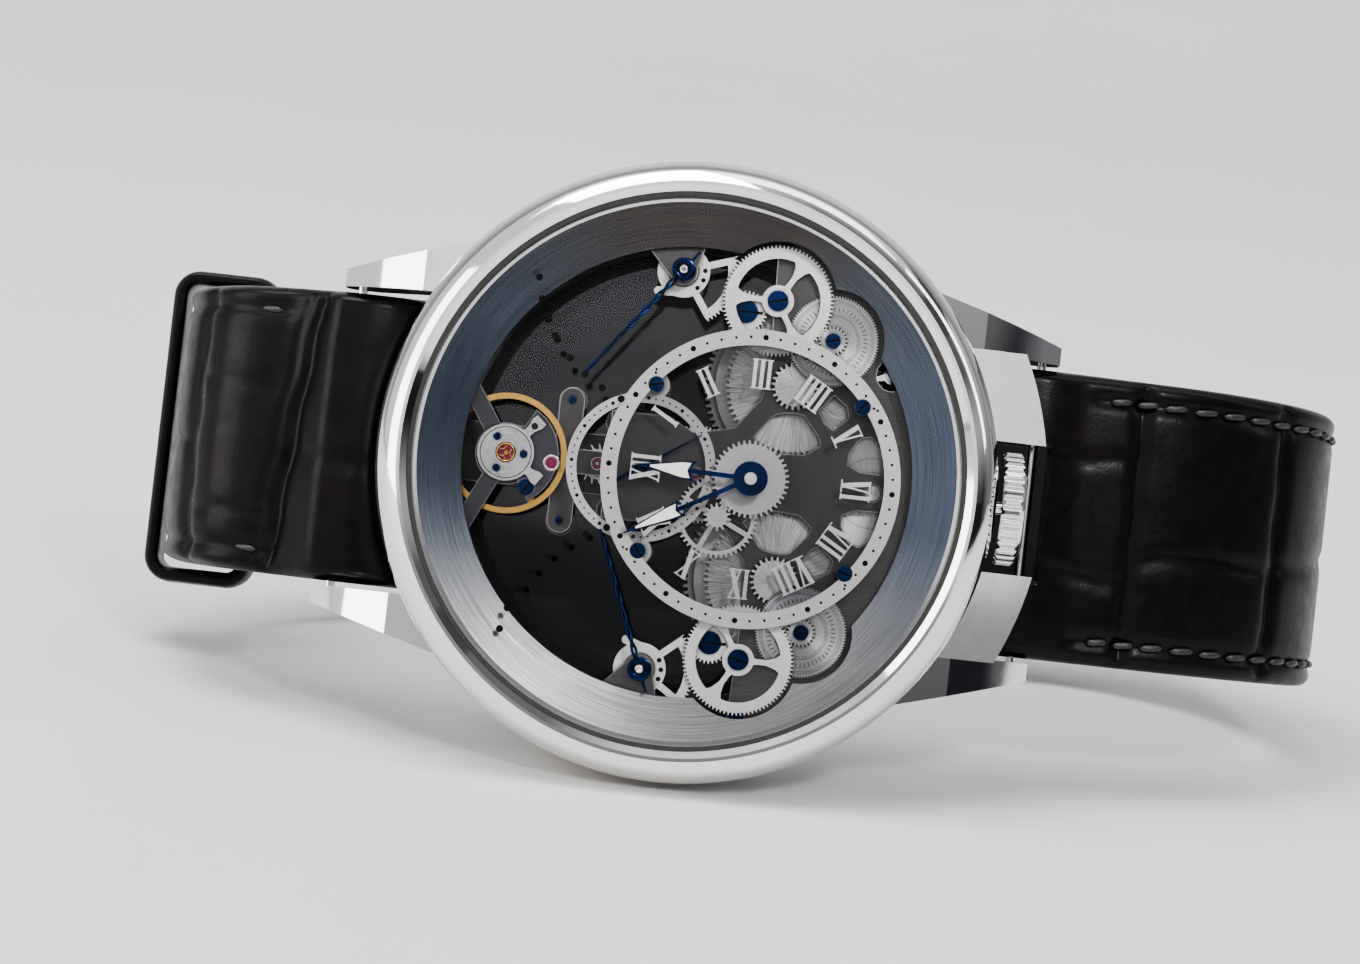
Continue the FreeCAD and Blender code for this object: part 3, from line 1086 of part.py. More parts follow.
def make_barrels():
    """Toothed drums with a lid, each holding its mainspring."""
    low, high = size("barrel_gear_low"), size("barrel_gear_high")
    top, drum, wall = size("barrel_top"), size("barrel_drum"), size("barrel_wall")
    radius = barrel_module() * size("barrel_teeth") / 2
    pinion_at = Vector(size("hour_x"), 0, 0)
    for name, side in (("upper", 1), ("lower", -1)):
        at = Vector(size("barrel_x"), side * size("barrel_y"), 0)
        gear = toothed_disc(size("barrel_teeth"), radius, low, high)
        shell = gear.fuse(disc(drum, high, top)).cut(disc(drum - wall, low + wall, top - wall))
        shell = shell.cut(disc(size("barrel_bore"), low - 1, top + 1))
        turn = meshed_turn(pinion_at, size("centre_pinion_teeth"), 0, at, size("barrel_teeth"))
        keep(name + "_barrel", shaped(name + "_barrel", shell.removeSplitter()), at.x, at.y, 0, turn)
        spring = spiral_strip(size("mainspring_inner"), size("mainspring_outer"), size("mainspring_turns"),
                              size("mainspring_strip"), low + wall + 0.1, top - wall - 0.1)
        keep(name + "_mainspring", shaped(name + "_mainspring", spring), at.x, at.y, 0, turn)


def barrel_module():
    reach = math.hypot(size("barrel_x - hour_x"), size("barrel_y"))
    return 2 * reach / size("barrel_teeth + centre_pinion_teeth")


def train_module(first_x, teeth, second_x, pinion_teeth):
    return 2 * abs(size(first_x) - size(second_x)) / (size(teeth) + size(pinion_teeth))


def make_train():
    """Centre, third, fourth and escape wheels, each with its pinion, in mesh along the middle line."""
    overlap = size("pinion_overlap")
    arbor = size("arbor_radius")
    centre_at, third_at, fourth_at, escape_at = [
        Vector(size(alias), 0, 0) for alias in ("hour_x", "third_x", "seconds_x", "escape_x")]
    first = train_module("hour_x", "centre_teeth", "third_x", "third_pinion_teeth")
    low, high = size("centre_wheel_low"), size("centre_wheel_high")
    centre = spoked_wheel(size("centre_teeth"), first * size("centre_teeth") / 2, low, high, 5).fuse([
        toothed_disc(size("centre_pinion_teeth"), barrel_module() * size("centre_pinion_teeth") / 2,
                     size("barrel_gear_low - pinion_overlap"), size("barrel_gear_high + pinion_overlap")),
        disc(0.5, size("barrel_gear_high"), low),
        disc(size("cannon_radius - 0.08"), low, size("bridge_high")),
        disc(0.4, size("plate_top") - 0.3, size("barrel_gear_low")),
        toothed_disc(size("cannon_teeth"), cannon_pitch_radius(), size("minute_wheel_low"),
                     size("minute_wheel_high + 0.06")),
        disc(size("cannon_radius"), size("bridge_high"), size("minute_hand_high")),
        disc(size("centre_pin_radius"), size("minute_hand_high"), size("hand_pin_top"))])
    keep("centre_wheel", shaped("centre_wheel", centre.removeSplitter()), centre_at.x)
    third_turn = meshed_turn(centre_at, size("centre_teeth"), 0, third_at, size("third_pinion_teeth"))
    second = train_module("third_x", "third_teeth", "seconds_x", "fourth_pinion_teeth")
    third = spoked_wheel(size("third_teeth"), second * size("third_teeth") / 2, size("third_wheel_low"),
                         size("third_wheel_high"), 5).fuse([
        toothed_disc(size("third_pinion_teeth"), first * size("third_pinion_teeth") / 2, low - overlap,
                     high + overlap),
        disc(arbor, size("plate_top") - 0.3, size("bridge_low") + 0.3)])
    keep("third_wheel", shaped("third_wheel", third.removeSplitter()), third_at.x, 0, 0, third_turn)
    fourth_turn = meshed_turn(third_at, size("third_teeth"), third_turn, fourth_at,
                              size("fourth_pinion_teeth"))
    last = train_module("seconds_x", "fourth_teeth", "escape_x", "escape_pinion_teeth")
    fourth = spoked_wheel(size("fourth_teeth"), last * size("fourth_teeth") / 2, size("fourth_wheel_low"),
                          size("fourth_wheel_high"), 5).fuse([
        toothed_disc(size("fourth_pinion_teeth"), second * size("fourth_pinion_teeth") / 2,
                     size("third_wheel_low") - overlap, size("third_wheel_high") + overlap),
        disc(arbor, size("plate_top") - 0.3, size("seconds_hand_low"))])
    keep("fourth_wheel", shaped("fourth_wheel", fourth.removeSplitter()), fourth_at.x, 0, 0, fourth_turn)
    escape_turn = meshed_turn(fourth_at, size("fourth_teeth"), fourth_turn, escape_at,
                              size("escape_pinion_teeth"))
    escape = escape_disc().fuse([
        toothed_disc(size("escape_pinion_teeth"), last * size("escape_pinion_teeth") / 2,
                     size("fourth_wheel_low") - overlap, size("fourth_wheel_high") + overlap),
        disc(arbor * 0.7, size("plate_top") - 0.3, size("pallet_bridge_low") + 0.3)])
    keep("escape_wheel", shaped("escape_wheel", escape.removeSplitter()), escape_at.x, 0, 0, escape_turn)


def escape_disc():
    """Club-toothed escape wheel, crossed out with four arms."""
    low, high, reach = size("escape_wheel_low"), size("escape_wheel_high"), size("escape_radius")
    teeth = int(size("escape_teeth"))
    corners = []
    for tooth in range(teeth):
        start = tooth * 360.0 / teeth
        for radius, offset in ((0.74, 0), (0.97, 7), (1.0, 10.5), (0.9, 10), (0.74, 8)):
            corners.append(polar(reach * radius, start + offset, low))
    wheel = Part.Face(Part.makePolygon(corners + corners[:1])).extrude(Vector(0, 0, high - low))
    return wheel.cut(crossings(0.28, reach * 0.6, 4, 0.16, low, high))


def make_pallet_fork():
    """Lever with its fork towards the balance, held clear of the escape wheel's teeth."""
    low, high, half = size("pallet_low"), size("pallet_high"), size("fork_half")
    reach, arm = size("fork_reach"), size("pallet_arm")
    lever = Part.makeBox(reach, 2 * half, high - low, Vector(-reach, -half, low))
    arms = Part.makeBox(0.36, 2 * arm, high - low, Vector(-0.18, -arm, low))
    prongs = []
    for side in (1, -1):
        root, tip = Vector(-reach, side * 0.1, 0), Vector(-reach - 0.35, side * 0.32, 0)
        prongs.append(rounded_bar(root, tip, 0.12, low, high))
    stones = [Part.makeBox(0.3, 0.14, high - low, Vector(0.1, side * arm - 0.07, low)) for side in (1, -1)]
    staff = disc(size("arbor_radius") * 0.7, size("plate_top") - 0.3, size("pallet_bridge_low") + 0.3)
    fork = lever.fuse([arms, staff] + prongs + stones)
    keep("pallet_fork", shaped("pallet_fork", fork.removeSplitter()), size("pallet_x"))


def make_balance():
    """Balance wheel with two arms, its staff, roller and impulse pin."""
    low, high, reach = size("balance_low"), size("balance_high"), size("balance_radius")
    rim = disc(reach, low, high).cut(disc(reach - size("balance_rim"), low, high))
    arms = Part.makeBox(2 * reach - 0.4, size("balance_arm"), 0.22,
                        Vector(0.2 - reach, -size("balance_arm") / 2, high - 0.3))
    arms.rotate(Vector(0, 0, 0), Vector(0, 0, 1), size("balance_arm_turn"))
    hub = disc(size("balance_hub"), high - 0.4, high - 0.02)
    staff = disc(0.14, size("plate_top") - 0.3, size("balance_bridge_low") + 0.2)
    roller = disc(size("roller_radius"), size("roller_low"), size("roller_high"))
    pin = disc(size("impulse_pin"), size("impulse_bottom"), size("roller_low"), size("impulse_circle"))
    seats = [polar(reach - 0.21, 45 + 90 * number) for number in range(4)]
    studs = [disc(0.22, high, high + 0.12, at.x, at.y) for at in seats]
    balance = rim.fuse([arms, hub, staff, roller, pin] + studs).removeSplitter()
    keep("balance", shaped("balance", balance), size("balance_x"), 0, 0, 90)


def make_regulating_parts():
    """Hairspring with its stud, and the regulator on the balance bridge."""
    low, high = size("hairspring_low"), size("hairspring_high")
    spring = spiral_strip(size("hairspring_inner"), size("hairspring_outer"), size("hairspring_turns"),
                          size("hairspring_strip"), low, high)
    keep("hairspring", shaped("hairspring", spring), size("balance_x"), 0, 0, -40)
    low, high = size("regulator_low"), size("regulator_high")
    plate = disc(size("regulator_radius"), low, high)
    arms = [flared_arm(size(reach), low, high) for reach in ("regulator_reach", "regulator_short_reach")]
    arms[1].rotate(Vector(0, 0, 0), Vector(0, 0, 1), size("regulator_spread"))
    regulator = plate.fuse(arms).removeSplitter()
    groove = disc(size("regulator_groove") + 0.05, high - 0.08, high + 1).cut(
        disc(size("regulator_groove") - 0.05, high - 0.2, high + 2))
    index_hole = disc(0.25, low, high, 0.8 * size("regulator_reach"))
    regulator = regulator.cut([disc(size("regulator_bore"), low, high), groove, index_hole])
    keep("regulator", shaped("regulator", regulator.removeSplitter()), size("balance_x"), 0, 0,
         size("regulator_turn"))


def flared_arm(reach, low, high):
    """A flat arm along X, waisted near its root and wider at its end."""
    waist, flare, root = size("regulator_waist"), size("regulator_flare"), size("regulator_radius") - 0.4
    side = [Vector(root, 1.5 * waist, low), Vector(root + 0.5, waist, low), Vector(0.72 * reach, waist, low),
            Vector(0.88 * reach, flare, low), Vector(reach, 0.9 * flare, low)]
    outline = side + [Vector(point.x, -point.y, low) for point in side[::-1]]
    return Part.Face(Part.makePolygon(outline + outline[:1])).extrude(Vector(0, 0, high - low))


def minute_wheel_centre():
    return Vector(size("hour_x"), 0, 0) + polar(size("motion_distance"), size("motion_direction"))


def cannon_pitch_radius():
    return size("motion_distance * cannon_teeth / (cannon_teeth + minute_wheel_teeth)")


def make_motion_work():
    """Minute wheel beside the cannon pinion, and the hour wheel on its pipe."""
    centre_at = Vector(size("hour_x"), 0, 0)
    minute_at = minute_wheel_centre()
    minute_turn = meshed_turn(centre_at, size("cannon_teeth"), 0, minute_at, size("minute_wheel_teeth"))
    wheel_radius = size("motion_distance") - cannon_pitch_radius()
    pinion_share = size("minute_pinion_teeth / (minute_pinion_teeth + hour_wheel_teeth)")
    pinion_radius = size("motion_distance") * pinion_share
    minute = spoked_wheel(size("minute_wheel_teeth"), wheel_radius, size("minute_wheel_low"),
                          size("minute_wheel_high"), 4).fuse([
        toothed_disc(size("minute_pinion_teeth"), pinion_radius, size("minute_wheel_high"),
                     size("hour_wheel_high + 0.06")),
        disc(size("minute_pivot"), size("bridge_high") - 0.3, size("minute_wheel_low"))])
    keep("minute_wheel", shaped("minute_wheel", minute.removeSplitter()), minute_at.x, minute_at.y, 0,
         minute_turn)
    hour_turn = meshed_turn(minute_at, size("minute_pinion_teeth"), minute_turn, centre_at,
                            size("hour_wheel_teeth"))
    hour = toothed_disc(size("hour_wheel_teeth"), size("motion_distance") - pinion_radius,
                        size("hour_wheel_low"), size("hour_wheel_high"))
    hour = hour.fuse(disc(size("hour_pipe"), size("hour_wheel_low"), size("hour_hand_high")))
    hour = hour.cut(disc(size("hour_pipe_bore"), -3, 3))
    keep("hour_wheel", shaped("hour_wheel", hour.removeSplitter()), centre_at.x, 0, 0, hour_turn)


# ---- power reserve trains ----------------------------------------------------------------------


def sector_shape(first_degrees, last_degrees):
    """A toothed sector: collar with two tails, two arms and the toothed arc between two angles."""
    low, high = size("low_storey_low"), size("low_storey_high")
    radius = size("sector_module * sector_teeth / 2")
    whole = toothed_disc(size("sector_teeth"), radius, low, high).cut(
        disc(radius - size("sector_rim"), low, high))
    span = last_degrees - first_degrees
    fan = [Vector(0, 0, low)] + [polar(2 * radius, first_degrees + span * n / 4, low) for n in range(5)]
    wedge = Part.Face(Part.makePolygon(fan + fan[:1])).extrude(Vector(0, 0, high - low))
    middle = (first_degrees + last_degrees) / 2
    limbs = []
    for side in (1, -1):
        arm_at = middle + side * (span / 2 - size("sector_arm_inset"))
        near, far = middle + side * size("sector_tail_near"), middle + side * size("sector_tail_far")
        limbs.append(rounded_bar(polar(size("sector_collar"), arm_at), polar(radius - 0.4, arm_at),
                                 size("sector_arm"), low, high))
        limbs.append(rounded_bar(polar(size("sector_tail_root"), near), polar(size("sector_tail"), far),
                                 size("sector_tail_width"), low, high))
    collar = disc(size("sector_hub"), low, high)
    groove = disc(size("sector_collar"), high - 0.15, high + 1).cut(disc(size("sector_gap"), low, high + 2))
    dots = [polar(size("sector_dot_circle"), middle + size("sector_dot_step") * step) for step in (-1, 0, 1)]
    holes = [disc(size("sector_dot"), low, high, dot.x, dot.y) for dot in dots]
    return whole.common(wedge).fuse(limbs + [collar]).removeSplitter().cut(holes + [groove])


def make_reserve_train(name, side, rest, travel_back, travel_on):
    """One power reserve train; side mirrors it across the middle line of the watch."""
    centres = {key: Vector(at.x, side * at.y, 0) for key, at in reserve_centres().items()}
    make_sector(name, centres["sector"], centres["idler"], travel_back, travel_on)
    idler_turn = meshed_turn(centres["sector"], size("sector_teeth"), 0, centres["idler"],
                             size("idler_teeth"))
    make_idler(name, centres["idler"], idler_turn)
    wheel_turn = meshed_turn(centres["idler"], size("idler_teeth"), idler_turn, centres["wheel"],
                             size("reserve_pinion_teeth"))
    make_reserve_wheel(name, centres["wheel"], wheel_turn)
    planet_turn = meshed_turn(centres["wheel"], size("reserve_teeth"), wheel_turn, centres["planet"],
                              size("planet_teeth"))
    make_differential(name, centres["planet"], planet_turn)
    make_reserve_hand(name, centres["sector"], side, rest)


def make_sector(name, at, idler, travel_back, travel_on):
    """Toothed sector on the pointer's arbor, long enough for the pointer's whole travel."""
    facing = math.degrees(math.atan2(idler.y - at.y, idler.x - at.x))
    spare = size("sector_spare")
    sector = sector_shape(facing - travel_on - spare, facing + travel_back + spare)
    sector = sector.fuse([disc(0.3, size("low_storey_high"), size("reserve_hand_high")),
                          disc(0.3, size("bridge_low"), size("low_storey_low"))])
    label = name + "_reserve_sector"
    keep(label, shaped(label, sector.removeSplitter()), at.x, at.y)


def make_idler(name, at, turn):
    """Idler wheel, recessed for the screw it turns on."""
    low, high = size("low_storey_low"), size("low_storey_high")
    idler = toothed_disc(size("idler_teeth"), size("sector_module * idler_teeth / 2"), low, high)
    idler = idler.cut(disc(size("idler_screw_radius") + 0.02, high - 0.05, high + 1))
    label = name + "_idler_wheel"
    keep(label, shaped(label, idler), at.x, at.y, 0, turn)


def make_reserve_wheel(name, at, turn):
    """Three-armed wheel above its pinion."""
    low, high = size("high_storey_low"), size("high_storey_high")
    pinion_low = size("low_storey_low")
    radius = size("reserve_module * reserve_teeth / 2")
    rim, hub = radius - size("reserve_rim"), size("reserve_wheel_hub")
    openings = disc(rim, low, high).cut(disc(hub, low, high)).cut(
        [flared_spoke(0.8 * hub, 1.02 * rim, 60 + 120 * number, low, high) for number in range(3)])
    recess = disc(size("wheel_screw_radius") + 0.02, high - 0.05, high + 1)
    wheel = toothed_disc(size("reserve_teeth"), radius, low, high).cut([openings, recess])
    pinion = toothed_disc(size("reserve_pinion_teeth"), size("sector_module * reserve_pinion_teeth / 2"),
                          pinion_low, low)
    post = disc(0.25, size("bridge_high"), pinion_low)
    label = name + "_reserve_wheel"
    keep(label, shaped(label, wheel.fuse([pinion, post])), at.x, at.y, 0, turn)


def flared_spoke(start, end, degrees, low, high):
    """A spoke that widens towards the rim."""
    waist, flare = size("spoke_waist"), size("spoke_flare")
    middle = (start + end) / 2
    side = [Vector(start, 1.4 * waist, low), Vector(0.6 * start + 0.4 * middle, waist, low),
            Vector(middle, waist, low), Vector(0.4 * middle + 0.6 * end, 0.5 * (waist + flare), low),
            Vector(0.15 * middle + 0.85 * end, flare, low), Vector(end, 1.7 * flare, low)]
    outline = side + [Vector(point.x, -point.y, low) for point in side[::-1]]
    spoke = Part.Face(Part.makePolygon(outline + outline[:1])).extrude(Vector(0, 0, high - low))
    spoke.rotate(Vector(0, 0, 0), Vector(0, 0, 1), degrees)
    return spoke


def make_differential(name, at, turn):
    """Snailed disc and the pinion on top of it."""
    pinion = toothed_disc(size("planet_teeth"), size("reserve_module * planet_teeth / 2"),
                          size("snail_high"), size("high_storey_high"))
    post = disc(0.4, size("bridge_high"), size("snail_low"))
    label = name + "_differential"
    keep(label, shaped(label, pinion.fuse([snail_disc(), post])), at.x, at.y, 0, turn)


def snail_disc():
    """Toothed disc with stepped rings and a circle of short engraved marks."""
    low, high = size("snail_low"), size("snail_high")
    snail = toothed_disc(size("snail_teeth"), size("snail_radius") - 0.07, low, high)
    for outer, inner in ((3.0, 2.75), (1.95, 1.7)):
        snail = snail.cut(disc(outer, high - 0.07, high + 1).cut(disc(inner, high - 0.2, high + 2)))
    marks = []
    for number in range(int(size("snail_marks"))):
        mark = Part.makeBox(size("snail_mark_length"), size("snail_mark_width"), 1,
                            Vector(size("snail_mark_circle") - size("snail_mark_length") / 2, 0, high - 0.07))
        mark.rotate(Vector(0, 0, 0), Vector(0, 0, 1), number * 360 / size("snail_marks"))
        marks.append(mark)
    return snail.cut(marks)


def make_reserve_hand(name, pivot, side, rest):
    body = new_body(name + "_reserve_hand")
    half = "reserve_hand_half"
    blade = [("-1.6", "-0.12"), ("0", "-" + half), ("reserve_hand_length", "-0.03"),
             ("reserve_hand_length", "0.03"), ("0", half), ("-1.6", "0.12")]
    low, high = "reserve_hand_low", "reserve_hand_high"
    add_pad(body, name + "_pointer", low, high, outlines=[blade])
    add_pad(body, name + "_pointer_hub", low, high, circles=[("0", "0", "reserve_hub_radius")])
    add_pocket(body, name + "_pointer_bore", "%s - 1" % low, "%s + 1" % high, circles=[("0", "0", "0.3")])
    keep(name + "_reserve_hand", body, pivot.x, pivot.y, 0, 180 + side * rest)


def make_reserve_trains():
    empty, full = size("reserve_empty"), size("reserve_full")
    upper, lower = size("upper_rest"), size("lower_rest")
    make_reserve_train("upper", 1, upper, upper - empty, full - upper)
    make_reserve_train("lower", -1, lower, full - lower, lower - empty)


# ---- small pieces ------------------------------------------------------------------------------


def make_click():
    """Click that holds the upper ratchet, with its beak between two teeth."""
    low, high, half = size("click_low"), size("click_high"), size("click_half")
    beak = [Vector(0, -half, low), Vector(size("click_length"), -0.05, low),
            Vector(size("click_length"), 0.05, low), Vector(0, half, low)]
    click = Part.Face(Part.makePolygon(beak + beak[:1])).extrude(Vector(0, 0, high - low))
    click = click.fuse([disc(size("click_hub"), low, high), disc(0.4, high, size("bridge_high"))])
    keep("click", shaped("click", click.removeSplitter()), size("click_x"), size("click_y"), 0,
         size("click_turn"))


def slotted_head(radius, top, degrees, thick):
    """A screw head with a straight slot, its top face at the given height."""
    depth, width = size("slot_depth"), size("slot_width")
    head = disc(radius, top - thick, top)
    slot = Part.makeBox(4 * radius, width, depth, Vector(-2 * radius, -width / 2, top - depth))
    slot.rotate(Vector(0, 0, 0), Vector(0, 0, 1), degrees)
    return head.cut(slot)


def screw_places():
    """Slotted screws of dial side, bridges and cocks: x, y, head radius, top and slot angle."""
    ring, bridge = size("hour_ring_high + 0.04"), size("bridge_high + screw_head")
    places = []
    for along in (1, -1):
        for side in (1, -1):
            places.append((size("hour_x") + along * size("ear_dx"), side * size("ear_dy"),
                           size("ear_screw_radius"), ring, 35 * side + 20 * along))
    for side in (1, -1):
        places.append((15.4, side * 8.5, size("small_screw_radius"), bridge, 20 * side))
        places.append((2.2 + 3.2, side * 17.1, size("small_screw_radius"), bridge, 70))
        places.append((14.6, side * 2.4, size("small_screw_radius"), bridge, 50 * side))
        places.append((size("cock_foot_x"), side * size("cock_foot_y"), size("small_screw_radius"),
                       size("cock_high + low_head"), 80))
        places.append((size("pallet_x") + 0.7, side * size("pallet_bridge_reach"),
                       size("tiny_screw_radius"), size("pallet_bridge_high + low_head"), 10))
        for key in ("planet", "wheel"):
            at = reserve_centres()[key]
            places.append((at.x, side * at.y, size(key + "_screw_radius"),
                           size("high_storey_high + low_head"), 15 * side))
    places.append((size("lobe_screw_x"), size("lobe_screw_y"), size("lobe_screw_radius"),
                   size("balance_bridge_high - 0.01"), 60))
    for degrees in (124, 0, -115):
        at = Vector(size("balance_x"), 0, 0) + polar(1.3, degrees)
        places.append((at.x, at.y, size("tiny_screw_radius"), size("regulator_high + tiny_head"), degrees))
    return places


def make_screws():
    """All fixed slotted screws, and the shoulder screws on which idlers and differentials turn."""
    screws = []
    for x, y, radius, top, degrees in screw_places():
        thick = size("tiny_head") if radius == size("tiny_screw_radius") else size("low_head")
        head = slotted_head(radius, top, degrees, thick)
        head.translate(Vector(x, y, 0))
        screws.append(head)
    for side in (1, -1):
        top = size("low_storey_high + low_head")
        head = slotted_head(size("idler_screw_radius"), top, 0, size("low_head"))
        head.translate(Vector(size("idler_x"), side * size("idler_y"), 0))
        screws.append(head)
    keep("movement_screws", shaped("movement_screws", Part.makeCompound(screws)))


def make_jewels():
    """Pierced ruby bearings in plates and bridges."""
    pierced = []
    seats = [(size("third_x"), "bridge_low", "bridge_high", 0.25),
             (size("seconds_x"), "bridge_low", "bridge_high", 0.25),
             (size("pallet_x"), "pallet_bridge_low", "pallet_bridge_high", 0.2),
             (size("escape_x"), "pallet_bridge_low", "pallet_bridge_high", 0.2)]
    seats += [(x, "plate_bottom", "plate_top", 0.46 if number == 0 else 0.25)
              for number, x in enumerate(arbor_places())]
    for x, low, high, bore in seats:
        low, high = size(low), size(high)
        pierced.append(disc(size("small_jewel_radius"), low, high, x).cut(disc(bore, low, high, x)))
    low, high = size("balance_bridge_low"), size("balance_bridge_high")
    pierced.append(disc(size("small_jewel_radius"), low, high, size("lobe_jewel_x"), size("lobe_jewel_y")))
    for low, high in (("plate_bottom", "plate_top"), ("balance_bridge_low", "balance_bridge_high")):
        low, high, x = size(low), size(high), size("balance_x")
        pierced.append(disc(size("jewel_radius"), low, high, x).cut(disc(0.2, low, high, x)))
    keep("jewels", shaped("jewels", Part.makeCompound(pierced)))


# ---- assembly ----------------------------------------------------------------------------------


def resting_tilt():
    """Rotation that lays the case's flank and the buckle's side on one flat surface."""
    back = buckle_bar_height() - size("buckle_length - 2") * math.sin(math.radians(buckle_slope()))
    rise = size("case_radius") - size("buckle_outer_half")
    lean = math.degrees(math.atan2(rise, -back))
    return FreeCAD.Rotation(Vector(1, 0, 0), 90 - lean)


def settle():
    """Give every piece the resting pose, with the whole watch's box centred over the origin."""
    tilt = FreeCAD.Placement(Vector(0, 0, 0), resting_tilt())
    bounds = FreeCAD.BoundBox()
    for thing, place in nodes.values():
        thing.Placement = tilt.multiply(place)
    doc.recompute()
    for thing, _ in nodes.values():
        bounds.add(thing.Shape.optimalBoundingBox())
    rest = Vector(-bounds.Center.x, -bounds.Center.y, -bounds.ZMin)
    for thing, _ in nodes.values():
        thing.Placement = FreeCAD.Placement(rest, FreeCAD.Rotation()).multiply(thing.Placement)
    doc.recompute()
    return FreeCAD.Placement(rest, tilt.Rotation)


def check():
    """Stop if anything in the document failed."""
    for thing in doc.Objects:
        if "Invalid" in thing.State or "Error" in thing.State:
            raise RuntimeError("%s is in state %s" % (thing.Label, thing.State))
    for label, (thing, _) in nodes.items():
        if thing.Shape.isNull() or not thing.Shape.isValid() or not thing.Shape.Solids:
            raise RuntimeError(label + " has no valid solid")


def main():
    fill_sheet()
    make_case_middle()
    make_bezel()
    make_glass()
    make_case_back()
    make_flange()
    make_spring_bars()
    make_strap()
    make_buckle()
    make_keepers()
    make_main_plate()
    make_train_bridge()
    make_balance_bridge()
    make_pallet_bridge()
    make_reserve_cocks()
    make_rings()
    make_hour_dial()
    make_numerals()
    make_hands()
    make_crown()
    make_keyless()
    make_winding_wheels()
    make_barrels()
    make_train()
    make_pallet_fork()
    make_balance()
    make_regulating_parts()
    make_motion_work()
    make_reserve_trains()
    make_click()
    make_screws()
    make_jewels()
    doc.recompute()
    pose = settle()
    check()
    os.makedirs("parts", exist_ok=True)
    for label, (thing, _) in nodes.items():
        thing.Shape.exportStep("parts/%s.step" % label)
    print("buckle bar", round(buckle_bar_height(), 4), "inner back", round(buckle_side_walk()[-1][0].y, 4))
    print("resting pose", pose.Base, "tilt", round(math.degrees(pose.Rotation.Angle), 3))
    print(len(nodes), "pieces")


main()
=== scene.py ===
import json
import math

import bpy
import numpy as np
from mathutils import Matrix, Vector


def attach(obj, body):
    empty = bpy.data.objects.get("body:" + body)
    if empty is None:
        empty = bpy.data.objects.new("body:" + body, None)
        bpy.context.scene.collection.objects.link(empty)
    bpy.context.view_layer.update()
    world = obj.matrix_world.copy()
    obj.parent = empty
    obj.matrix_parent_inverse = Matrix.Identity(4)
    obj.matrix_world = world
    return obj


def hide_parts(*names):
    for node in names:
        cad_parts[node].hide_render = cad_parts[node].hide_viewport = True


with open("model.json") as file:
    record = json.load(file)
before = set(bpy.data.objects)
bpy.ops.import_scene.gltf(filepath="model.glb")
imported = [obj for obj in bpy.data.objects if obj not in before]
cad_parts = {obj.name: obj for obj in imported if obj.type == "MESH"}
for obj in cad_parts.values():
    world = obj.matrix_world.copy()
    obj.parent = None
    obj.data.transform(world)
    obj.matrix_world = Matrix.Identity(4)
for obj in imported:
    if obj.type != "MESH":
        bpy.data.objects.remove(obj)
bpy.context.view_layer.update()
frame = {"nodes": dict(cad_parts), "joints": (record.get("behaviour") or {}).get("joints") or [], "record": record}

# Looks of the skeleton wristwatch.  Lengths are millimetres in the dial's own frame: X from 12 o'clock
# to 6 o'clock, Y towards 3 o'clock, Z out of the dial.  row_points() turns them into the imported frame.
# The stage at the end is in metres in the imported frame, with X to the right and Z up.

nodes = frame["nodes"]
joints = {joint["name"]: joint for joint in frame["joints"]}
MM = 0.001
HOUR_X = 4.6
AXIS_Z = -Vector(frame["record"]["mounts"][0]["axis"]).normalized()
AXIS_X = Vector((1, 0, 0))
AXIS_Y = AXIS_Z.cross(AXIS_X)
ORIGIN = Vector(joints["minute_turn"]["pos_m"]) - AXIS_X * HOUR_X * MM
BASIS = np.array([AXIS_X, AXIS_Y, AXIS_Z])


def row_points(points):
    """Dial-frame millimetres as row-frame metres."""
    return np.asarray(points, float) * MM @ BASIS + np.array(ORIGIN)


def row_point(x, y, z):
    return Vector(row_points([[x, y, z]])[0])


def joint_place(name):
    """A hinge's axis as x and y in the dial's frame."""
    offset = (Vector(joints[name]["pos_m"]) - ORIGIN) / MM
    return offset.dot(AXIS_X), offset.dot(AXIS_Y)


# ---- materials ---------------------------------------------------------------------------------


def rgba(colour):
    """A fixed colour gets its alpha; a socket stays as it is."""
    return tuple(colour) + (1,) if isinstance(colour, tuple) else colour


